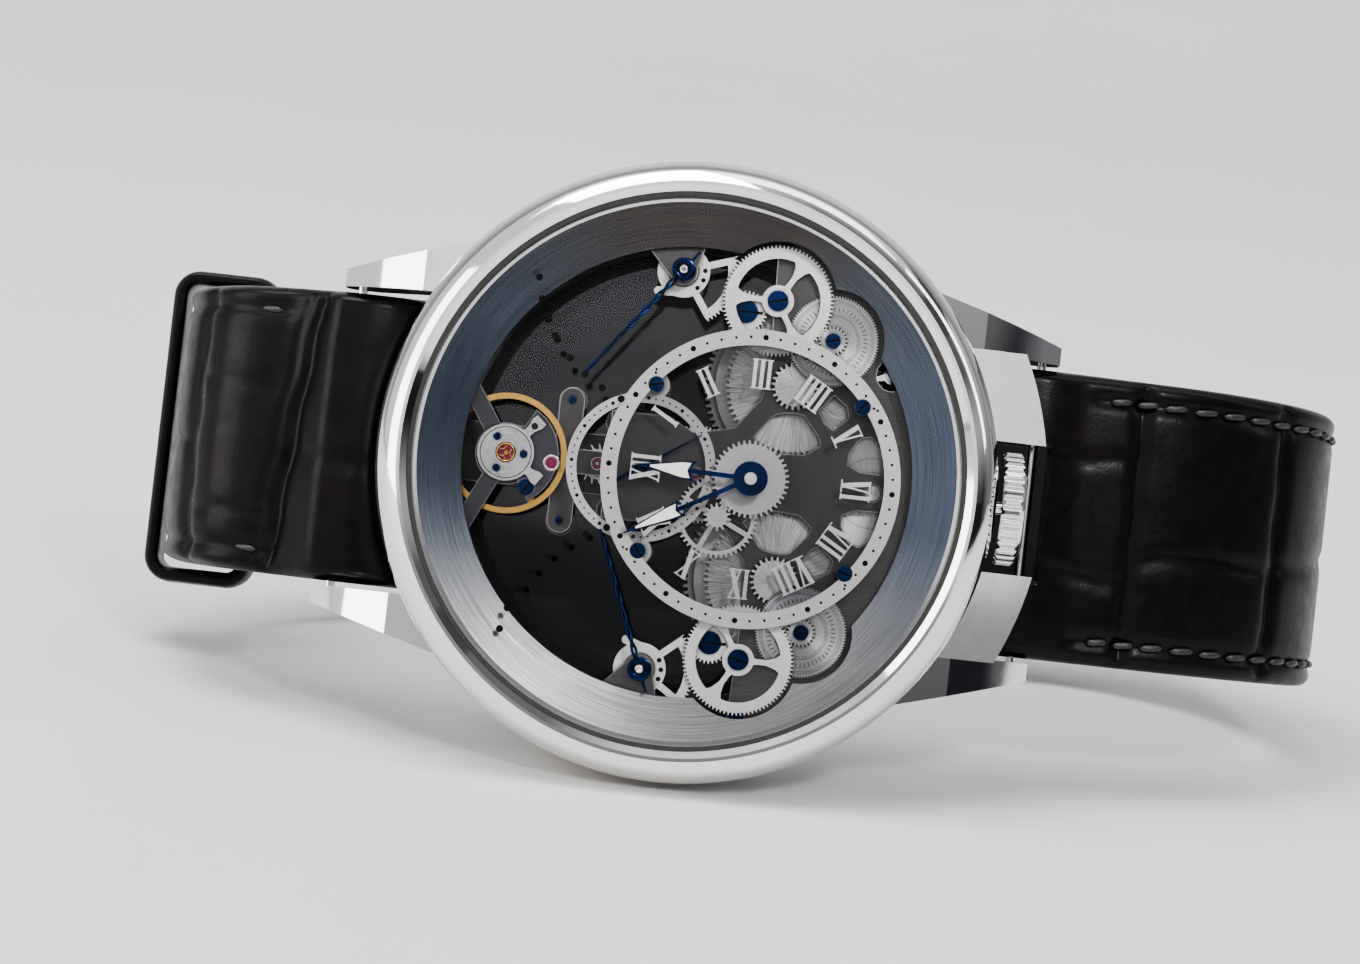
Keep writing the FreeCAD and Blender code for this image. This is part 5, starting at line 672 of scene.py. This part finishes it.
def lume_arrow(name, body, turn, start, half, length, top):
    """The luminous filling of a hand's arrow, from its notched tail at start to its tip at length."""
    flank = [(start + 0.42, half - 0.2), (start + 1.1, half - 0.22), (length - 1.25, 0.07)]
    shape = [(start + 0.66, 0.0)] + flank + [(x, -y) for x, y in flank[::-1]]
    spin = math.radians(turn)
    placed = [(HOUR_X + x * math.cos(spin) - y * math.sin(spin), x * math.sin(spin) + y * math.cos(spin))
              for x, y in shape]
    heap = Heap()
    heap.slab(placed, top - 0.01, top + 0.05, 0.03)
    return heap.build(name, [lume], body, "numeral_silver", smooth=False)


lume_arrow("minute_lume", "minute_arbor", turn=209.5, start=5.2, half=0.64, length=10.2, top=1.0)
lume_arrow("hour_lume", "hour_pipe", turn=179.0, start=3.9, half=0.75, length=8.5, top=0.72)

POINTER_Z, POINTER_START, POINTER_END, TWIST_PITCH = 0.43, 0.8, 10.2, 2.7
HUB = [(0.85, 0.34), (0.88, 0.4), (0.84, 0.5), (0.78, 0.53), (0.45, 0.53), (0.42, 0.5), (0.3, 0.5),
       (0.3, 0.34)]
HUB_TUBE = [(0.295, 0.36), (0.295, 0.6), (0.26, 0.64), (0.17, 0.64), (0.14, 0.6), (0.14, 0.5)]
BALL_RADIUS = 0.13


def reserve_pointer(side_name, side, rest):
    """Twisted two-strand blued pointer with a round hub, its tube and a ball tip."""
    pivot_x, pivot_y = joint_place(side_name + "_reserve_turn")
    angle = math.radians(180 + side * rest)
    out = np.array([math.cos(angle), math.sin(angle), 0])
    left = np.array([-math.sin(angle), math.cos(angle), 0])
    base = np.array([pivot_x, pivot_y, POINTER_Z])
    run = np.linspace(POINTER_START, POINTER_END, 150)
    heap = Heap()
    for phase in (0.0, math.pi):
        coil = 0.03 + (0.12 - 0.006 * run) * np.minimum(1, (POINTER_END + 0.15 - run) / 1.2)
        turn = phase + run * 2 * math.pi / TWIST_PITCH
        line = (base + out * run[:, None] + left * (coil * np.cos(turn))[:, None]
                + np.array([0, 0, 1]) * (coil * np.sin(turn))[:, None])
        heap.tube(sweep(line, 0.115 - 0.004 * run))
    heap.tube(turned(pivot_x, pivot_y, HUB), 0, closed=True)
    heap.tube(turned(pivot_x, pivot_y, HUB_TUBE), 1)
    tail = np.linspace(POINTER_START, 1.7, 8)
    heap.tube(sweep(base - out * tail[:, None], 0.11))
    tip = base + out * (POINTER_END + 0.1)
    ball = [(BALL_RADIUS * math.cos(b), tip[2] + BALL_RADIUS * math.sin(b))
            for b in np.linspace(-1.45, 1.45, 7)]
    heap.tube(turned(tip[0], tip[1], ball, 10))
    made = heap.build(side_name + "_reserve_pointer", [blue, steel_parts], side_name + "_reserve",
                      "blued_steel")
    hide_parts(side_name + "_reserve_hand")


reserve_pointer("upper", 1, 52.7)
reserve_pointer("lower", -1, 68.0)


# ---- strap -------------------------------------------------------------------------------------

BAR_X, FACE_Z, THICK, FIT_RADIUS = 25.2, -9.4, 2.6, 22.05
EDGE_HEIGHT, EDGE_ROUND, INNER_ROUND, PAD_RISE = 1.35, 0.8, 0.28, 0.42
SEAM_INSET, STITCH_PITCH, STITCH_RADIUS = 1.75, 2.05, 0.26
NARROW_HALF, NARROW_Z, TAPER = 10.0, -47.3, 0.75 / 43.2
ACROSS, ROW_STEP, LUG_STEPS, LUG_MIDDLE = 61, 0.26, 10, 1.5
BUCKLE_X, HOLE_BACK = 5.0, -42.1236


def strap_run(lead, slope, bend, drop, turn, end_x):
    """The inner face's line as x, z, heading and distance, for the half at 6 o'clock.

    It leaves the bar sloping down by a lead, bends to straight down, drops, turns back under the watch and
    ends at end_x.  bend and turn are radii.
    """
    x, z, way = BAR_X, FACE_Z, -math.radians(slope)
    rows = []
    legs = [(lead, 0.0), (bend * (math.pi / 2 + way), bend), (drop, 0.0), (turn * math.pi / 2, turn)]
    for length, radius in legs:
        count = max(1, round(length / ROW_STEP)) if length > 0 else 0
        for _ in range(count):
            rows.append((x, z, way))
            part = length / count
            middle = way - (part / radius / 2 if radius else 0)
            x, z = x + part * math.cos(middle), z + part * math.sin(middle)
            way -= part / radius if radius else 0
    last = x - end_x
    count = round(last / ROW_STEP)
    for number in range(count + 1):
        rows.append((x - last * number / count, z, way))
    rows = np.array(rows)
    run = np.concatenate([[0], np.cumsum(np.hypot(*np.diff(rows[:, :2], axis=0).T))])
    return rows[:, 0], rows[:, 1], rows[:, 2], run


def groove(distance, wide, deep):
    """A sewn or grown furrow: a broad dip with a sharper bottom."""
    return deep * (0.75 * np.exp(-(distance / wide) ** 2) + 0.25 * np.exp(-(distance / (wide * 0.3)) ** 2))


def half_width(z):
    """The strap narrows from the lugs to the buckle."""
    return NARROW_HALF + TAPER * (z - NARROW_Z)


def furrows(s, y, width, cross, creases):
    """How deep the scales' furrows and the stitching channels are at each point."""
    relief = np.zeros_like(y)
    for place, wobble, phase, wide, deep in cross:
        if wobble < 0:
            line = place + wobble * y + 0.1 * np.sin(y * 1.1)
        else:
            line = place + wobble * np.sin(y * 0.23 + phase) + 0.07 * np.sin(y * 1.3 + phase * 3)
        relief += groove(s - line, wide, deep)
    for start, end, at, wander, deep in creases:
        line = at + wander * np.sin(s * 0.31 + at) + 0.08 * np.sin(s * 1.7 + at)
        on = smooth_step(s, start, start + 0.8) * (1 - smooth_step(s, end - 0.8, end))
        relief += on * groove(y - line, 0.55, deep)
    relief += groove(np.abs(y) - (width - SEAM_INSET), 0.5, 0.3) * smooth_step(s, 3.0, 4.5)
    return relief * np.clip((width - np.abs(y)) / 0.9, 0, 1)


def ring_of(x, z, normal, y, top, low, side):
    """One closed cross-section: the outer face, then every third point of the inner face back again."""
    skip = slice(2, -2, 3)
    over = np.column_stack([side * (x + normal[0] * top), y, z + normal[1] * top])
    low, back = np.broadcast_to(low, y.shape)[skip][::-1], y[skip][::-1]
    x, z = np.broadcast_to(x, y.shape)[skip][::-1], np.broadcast_to(z, y.shape)[skip][::-1]
    under = np.column_stack([side * (x + normal[0] * low), back, z + normal[1] * low])
    return np.concatenate([over, under])


def strap_half(name, node, side, walk, cross, creases, pad_end, roll, bulge, tail=0.0):
    """A padded alligator half: crowned, with scales, a stitch channel and a lug end fitted to the case.

    cross lists furrows as place, wobble, phase, width and depth; creases lists start, end, place across,
    wander and depth.  roll thickens the lug end, bulge the bend after it, and tail narrows the far end.
    """
    x, z, way, run = strap_run(**walk)
    across = np.sin(np.linspace(-1, 1, ACROSS) * math.pi / 2 * 0.985) / math.sin(math.pi / 2 * 0.985)
    width = half_width(z)
    if tail:
        past = run - run[-1] + tail
        width = width * np.where(past > 0, 1 - 0.55 * (np.maximum(past, 0) / tail) ** 1.6, 1)
    y = width[:, None] * across[None]
    s = run[:, None] + 0 * y
    swell = roll * (1 - smooth_step(run, 0.2, 3.4))[:, None]
    swell = swell + bulge * (smooth_step(run, 3.5, 8.0) * (1 - smooth_step(run, 17.0, 26.0)))[:, None]
    pad = (PAD_RISE * (1 - smooth_step(run, pad_end * 0.35, pad_end)))[:, None]
    crown = 1 - np.abs(across[None]) ** 3
    shoulder = ((np.abs(y) - (width[:, None] - EDGE_ROUND)) / EDGE_ROUND).clip(0, 1)
    rim = np.sqrt(np.clip(1 - shoulder ** 2, 0, 1))
    outer = EDGE_HEIGHT + (THICK - EDGE_HEIGHT + swell + pad * crown) * (0.25 + 0.75 * rim)
    outer = outer - furrows(s, y, width[:, None], cross, creases) * np.where(s < pad_end + 6, 1, 0.7)
    outer += 0.05 * np.sin(s * 0.9 + y * 0.7) * np.sin(y * 0.55 - s * 0.21) * pad
    inner = INNER_ROUND * (1 - rim)
    normals = np.column_stack([-np.sin(way), np.cos(way)])
    rings = []
    reach = BAR_X - np.sqrt(FIT_RADIUS ** 2 - y[0] ** 2)
    for step in range(LUG_STEPS):
        angle = math.radians(87 - 87 * step / LUG_STEPS)
        share = math.cos(angle) ** 0.8
        rings.append(ring_of(x[0] - reach * math.sin(angle), z[0], (0.0, 1.0), y[0],
                             LUG_MIDDLE + (outer[0] - LUG_MIDDLE) * share,
                             LUG_MIDDLE + (inner[0] - LUG_MIDDLE) * share, side))
    for number in range(len(x)):
        rings.append(ring_of(x[number], z[number], normals[number], y[number], outer[number],
                             inner[number], side))
    if tail:
        angles, push, middle, narrow, under = (28, 56, 84), 0.7, 1.2, 0.02, 0.0
    else:
        angles, push, middle, narrow, under = range(13, 89, 15), 1.28, 1.3, 0.0, inner[-1]
    for step, angle in enumerate(np.radians(angles), 1):
        share = math.cos(angle)
        rings.append(ring_of(x[-1] - push * math.sin(angle), z[-1], normals[-1], y[-1] * (1 - narrow * step),
                             middle + (outer[-1] - middle) * share, middle + (under - middle) * share, side))
    rings = np.array(rings)
    around = rings.shape[1]
    faces = tube_faces(len(rings), around)
    if side < 0:
        faces = [face[::-1] for face in faces]
    marks = [int(len(face) == 4 and min(face[0] % around, face[1] % around) > ACROSS + 1) for face in faces]
    made = piece(name, rings.reshape(-1, 3), faces, [hide, lining], "case", marks)
    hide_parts(node)
    return made, (x, z, way, run, width, outer)


def stitches(name, side, path, start, end):
    """Saddle stitches sunk in the channels along both edges."""
    x, z, way, run, width, outer = path
    heap = Heap()
    for flank in (1, -1):
        for number, place in enumerate(np.arange(start, end, STITCH_PITCH)):
            rows = np.linspace(place, place + STITCH_PITCH * 0.8, 7)
            at_x, at_z = np.interp(rows, run, x), np.interp(rows, run, z)
            heading = np.interp(rows, run, way)
            seam = np.interp(rows, run, width) - SEAM_INSET
            share = np.linspace(-1, 1, 7)
            slant = 0.09 * share * flank + 0.02 * math.sin(number * 1.7)
            rise = THICK + np.interp(rows, run, np.maximum(outer[:, ACROSS // 2] - THICK, 0) * 0.42)
            rise = rise - 0.2 * share ** 4 - 0.04
            line = np.column_stack([side * (at_x - np.sin(heading) * rise), flank * (seam + slant),
                                    at_z + np.cos(heading) * rise])
            radius = STITCH_RADIUS * np.sqrt(np.clip(1.05 - share ** 4, 0.1, 1))
            heap.tube(sweep(line, radius, (0.0, 1.0, 0.0)))
    return heap.build(name, [thread], "case", "alligator")


def carve(made, boxes):
    """Cut holes, given as outlines in X and Y between two heights, through a strap half."""
    heap = Heap()
    for outline, low, high in boxes:
        outline = np.asarray(outline, float)
        heap.tube([np.column_stack([outline, np.full(len(outline), height)]) for height in (low, high)])
    tool = piece("carving_tool", heap.points, heap.faces, [lining], "case", smooth=False)
    cutter = made.modifiers.new("holes", "BOOLEAN")
    cutter.operation = "DIFFERENCE"
    cutter.object = tool
    cutter.solver = "EXACT"
    graph = bpy.context.evaluated_depsgraph_get()
    carved = bpy.data.meshes.new_from_object(made.evaluated_get(graph))
    made.modifiers.clear()
    made.data = carved
    bpy.data.objects.remove(tool)


def circle(x, radius):
    return [(x + radius * math.cos(a), radius * math.sin(a))
            for a in np.linspace(0, 2 * math.pi, 24, endpoint=False)]


def oblong(low_x, high_x, half):
    return [(low_x, -half), (high_x, -half), (high_x, half), (low_x, half)]


buckle_half, buckle_path = strap_half(
    "buckle_strap", "strap_buckle_half", -1,
    walk=dict(lead=1.8, slope=14.0, bend=10.5, drop=1.8, turn=17.5, end_x=-BUCKLE_X),
    cross=[(2.9, -0.1, 0.0, 0.5, 0.7), (3.9, -0.1, 0.4, 0.22, 0.2), (9.6, 0.05, 1.2, 0.55, 0.4),
           (18.5, 0.3, 2.6, 0.6, 0.32), (27.5, 0.4, 4.0, 0.6, 0.3), (36.0, 0.3, 0.8, 0.5, 0.25),
           (44.5, 0.3, 0.5, 0.5, 0.22), (53.0, 0.3, 2.5, 0.5, 0.2)],
    creases=[(-3.0, 3.0, -1.4, 0.5, 0.22), (3.6, 9.6, 3.6, 0.5, 0.16), (3.6, 9.6, -6.6, 0.5, 0.2),
             (9.6, 18.5, -2.0, 0.9, 0.2), (18.5, 27.5, 3.2, 0.8, 0.25), (27.5, 36.0, -3.5, 0.7, 0.2),
             (36.0, 44.5, 1.5, 0.7, 0.2)],
    pad_end=26.0, roll=1.5, bulge=1.5)
hole_half, hole_path = strap_half(
    "long_strap", "strap_hole_half", 1,
    walk=dict(lead=9.6, slope=8.0, bend=14.5, drop=0.0, turn=17.0286, end_x=-19.0),
    cross=[(7.6, 0.0, 0.3, 0.6, 0.5), (18.5, 0.03, 1.0, 0.6, 0.5), (29.0, 0.2, 2.6, 0.6, 0.42),
           (39.5, 0.4, 4.2, 0.6, 0.35), (50.0, 0.4, 0.6, 0.5, 0.28), (60.0, 0.4, 1.5, 0.5, 0.25),
           (70.0, 0.3, 0.8, 0.5, 0.22), (80.0, 0.3, 2.0, 0.5, 0.2)],
    creases=[(0.5, 7.6, 4.6, 0.3, 0.2), (0.5, 7.6, -4.2, 0.4, 0.22), (7.6, 18.5, -2.6, 0.6, 0.22),
             (18.5, 29.0, -1.2, 0.5, 0.24), (29.0, 39.5, -2.4, 0.8, 0.25), (39.5, 50.0, 2.6, 0.8, 0.22),
             (50.0, 60.0, -1.5, 0.7, 0.2), (60.0, 70.0, 2.0, 0.7, 0.18)],
    pad_end=30.0, roll=0.5, bulge=0.0, tail=8.0)

# The crown's notch, the punched holes with the used one widened for the tongue, and the buckle's opening.
HOLE_PITCH, HOLE_RADIUS = 5.5, 0.9
back_low, back_high = HOLE_BACK - THICK - 1, HOLE_BACK + 1
used = BUCKLE_X + 2.2
carve(hole_half, [(oblong(22.0, 26.4, 4.9), -14.0, -4.0)]
      + [(circle(used + HOLE_PITCH * number, HOLE_RADIUS), back_low, back_high) for number in (-2, -1, 1, 2)]
      + [(oblong(used - 2.8, used + 1.9, 1.15), back_low, back_high)])
carve(buckle_half, [(oblong(BUCKLE_X - 2.4, BUCKLE_X + 3.0, 1.6), HOLE_BACK - 0.1, HOLE_BACK + 4.2)])
stitches("buckle_strap_stitching", -1, buckle_path, 4.6, 30.0)
stitches("long_strap_stitching", 1, hole_path, 5.0, 78.0)


def keeper(name, node, body, centre, along, half, opening):
    """A leather loop with rounded corners and a softly crowned outside."""
    wall, wide, corner = 1.1, 4.6, 1.4
    centre, along = np.array(centre, float), np.array(along, float)
    thick_way = np.cross(along, [0.0, 1.0, 0.0])
    reach_y, reach_t = half + wall / 2, opening / 2 + wall / 2
    profile = []
    for angle in np.linspace(0, 2 * math.pi, 28, endpoint=False):
        across = math.copysign(abs(math.cos(angle)) ** 0.35, math.cos(angle)) * wide / 2
        lift = math.copysign(abs(math.sin(angle)) ** 0.5, math.sin(angle)) * wall / 2 * 0.96
        lift += 0.16 * math.cos(across * 0.6) if lift > 0 else 0.0
        profile.append((across, lift))
    rings = []
    for quarter, (sign_y, sign_t) in enumerate(((1, 1), (-1, 1), (-1, -1), (1, -1))):
        for angle in np.radians(90 * quarter + np.linspace(0, 90, 10)):
            out_y, out_t = math.cos(angle), math.sin(angle)
            at_y = sign_y * (reach_y - corner) + corner * out_y
            at_t = sign_t * (reach_t - corner) + corner * out_t
            rings.append([centre + along * across + np.array([0, 1, 0]) * (at_y + out_y * lift)
                          + thick_way * (at_t + out_t * lift) for across, lift in profile])
    heap = Heap()
    heap.tube(rings, closed=True)
    made = heap.build(name, [hide], body, "alligator")
    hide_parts(node)


KEEPER_OUT = 2.0
keeper("sewn_keeper", "fixed_keeper", "case", centre=(-5.5, 0, HOLE_BACK + 0.1), along=(1, 0, 0), half=10.3,
       opening=5.8)
keeper("loose_keeper", "free_keeper", "free_keeper", centre=(-buckle_path[0].max() - KEEPER_OUT, 0, -25.0),
       along=(0, 0, 1), half=10.95, opening=6.0)


# ---- stage, lights and camera --------------------------------------------------------------------

FLOOR_HALF, CURVE_START, CURVE_RADIUS, BACKDROP_TOP = 2.4, 0.45, 0.35, 2.0
ELEVATION, ROLL, DISTANCE, SENSOR, SEEN_WIDTH = math.radians(11.5), math.radians(6.4), 0.28, 36.0, 0.0975
AIM_RIGHT, AIM_UP = -0.47, -0.73
WARM, COOL = (1.0, 0.99, 0.97), (0.85, 0.93, 1.0)


def make_floor():
    """A pale floor that curves up into a backdrop."""
    rows = [(-FLOOR_HALF, 0.0), (CURVE_START, 0.0)]
    rows += [(CURVE_START + CURVE_RADIUS * math.sin(a), CURVE_RADIUS - CURVE_RADIUS * math.cos(a))
             for a in np.radians(range(6, 91, 6))]
    rows.append((CURVE_START + CURVE_RADIUS, BACKDROP_TOP))
    points = [(x, y, z) for y, z in rows for x in (-FLOOR_HALF, FLOOR_HALF)]
    faces = [(2 * row, 2 * row + 1, 2 * row + 3, 2 * row + 2) for row in range(len(rows) - 1)]
    mesh = bpy.data.meshes.new("floor")
    mesh.from_pydata(points, [], faces)
    mesh.polygons.foreach_set("use_smooth", [True] * len(faces))
    mesh.materials.append(plain("pale_floor", (0.62, 0.61, 0.6), (0.66, 0.65, 0.64), 40.0, 0.55))
    floor = bpy.data.objects.new("floor", mesh)
    bpy.context.scene.collection.objects.link(floor)


def make_light(name, place, size, power, aim, colour):
    """A rectangular area light, size being its width and height, turned towards a point."""
    light = bpy.data.lights.new(name, "AREA")
    light.shape = "RECTANGLE"
    light.size, light.size_y = size
    light.energy, light.color = power, colour
    lamp = bpy.data.objects.new(name, light)
    lamp.location = place
    lamp.rotation_mode = "QUATERNION"
    lamp.rotation_quaternion = (Vector(aim) - Vector(place)).to_track_quat("-Z", "Y")
    bpy.context.scene.collection.objects.link(lamp)


def make_lights():
    middle = row_point(0, 0, 0)
    make_light("front_panel", (-0.16, -0.85, 0.46), (0.6, 0.45), 0.6, middle, WARM)
    make_light("key", (0.2, -0.55, 0.45), (0.1, 0.1), 2.3, middle, WARM)
    make_light("left_box", (-0.75, -0.35, 0.3), (0.5, 0.7), 4.6, middle, (1.0, 0.98, 0.95))
    make_light("top_box", (-0.2, -0.1, 0.9), (0.5, 0.5), 6.0, middle, (1, 1, 1))
    make_light("right_strip", (0.62, -0.05, 0.42), (0.12, 0.5), 0.6, middle, COOL)
    make_light("backdrop_wash", (0.0, 0.1, 1.1), (1.4, 0.5), 4.5, (0.0, 0.7, 0.2), (1, 1, 1))


def make_camera():
    """At the photograph's angle: a little above, rolled so that 6 o'clock dips."""
    towards = Vector((0.0, -math.cos(ELEVATION), math.sin(ELEVATION)))
    right = AXIS_X * math.cos(ROLL) + AXIS_Y * math.sin(ROLL)
    right = (right - towards * right.dot(towards)).normalized()
    up = towards.cross(right)
    aim = row_point(0, 0, 0) + (right * AIM_RIGHT + up * AIM_UP) * MM
    data = bpy.data.cameras.new("camera")
    data.sensor_width = SENSOR
    data.lens = SENSOR * DISTANCE / SEEN_WIDTH
    data.clip_start, data.clip_end = 0.01, 20.0
    camera = bpy.data.objects.new("camera", data)
    camera.matrix_world = Matrix((right, up, towards)).transposed().to_4x4()
    camera.location = aim + towards * DISTANCE
    bpy.context.scene.collection.objects.link(camera)
    bpy.context.scene.camera = camera


def make_world():
    """Soft studio surroundings: pale above and on the left, with dark zones for the steel to mirror."""
    world = bpy.data.worlds.new("studio")
    world.use_nodes = True
    paint = Paint(world.node_tree)
    split = paint.add("ShaderNodeSeparateXYZ")
    paint.feed(split.inputs[0], paint.add("ShaderNodeTexCoord").outputs["Generated"])
    right, back, high = split.outputs
    tone = paint.mix(paint.spread(high, 0.1, 0.8, 0.0, 1.0), (0.2, 0.2, 0.215), (0.85, 0.86, 0.88))
    low_right = paint.sum("MULTIPLY", paint.spread(right, 0.15, 0.4, 0.0, 0.95),
                          paint.spread(high, 0.12, 0.3, 1.0, 0.0))
    high_right = paint.sum("MULTIPLY", paint.spread(right, 0.05, 0.3, 0.0, 0.8),
                           paint.spread(high, 0.35, 0.5, 0.0, 1.0))
    in_front = paint.spread(back, -0.25, 0.05, 1.0, 0.0)
    dark = paint.sum("MULTIPLY", paint.sum("MAXIMUM", low_right, high_right), in_front)
    stripe = paint.sum("ABSOLUTE", paint.sum("SUBTRACT", high, 0.66))
    dark = paint.sum("MAXIMUM", dark, paint.spread(stripe, 0.05, 0.09, 0.9, 0.0))
    tone = paint.mix(dark, tone, (0.012, 0.013, 0.017))
    tone = paint.mix(paint.spread(right, -0.25, -0.6, 0.0, 1.0), tone, (0.85, 0.85, 0.86))
    paint.feed(world.node_tree.nodes["Background"].inputs["Color"], tone)
    bpy.context.scene.world = world


make_floor()
make_lights()
make_world()
make_camera()
bpy.context.scene.view_settings.look = "AgX - Medium High Contrast"
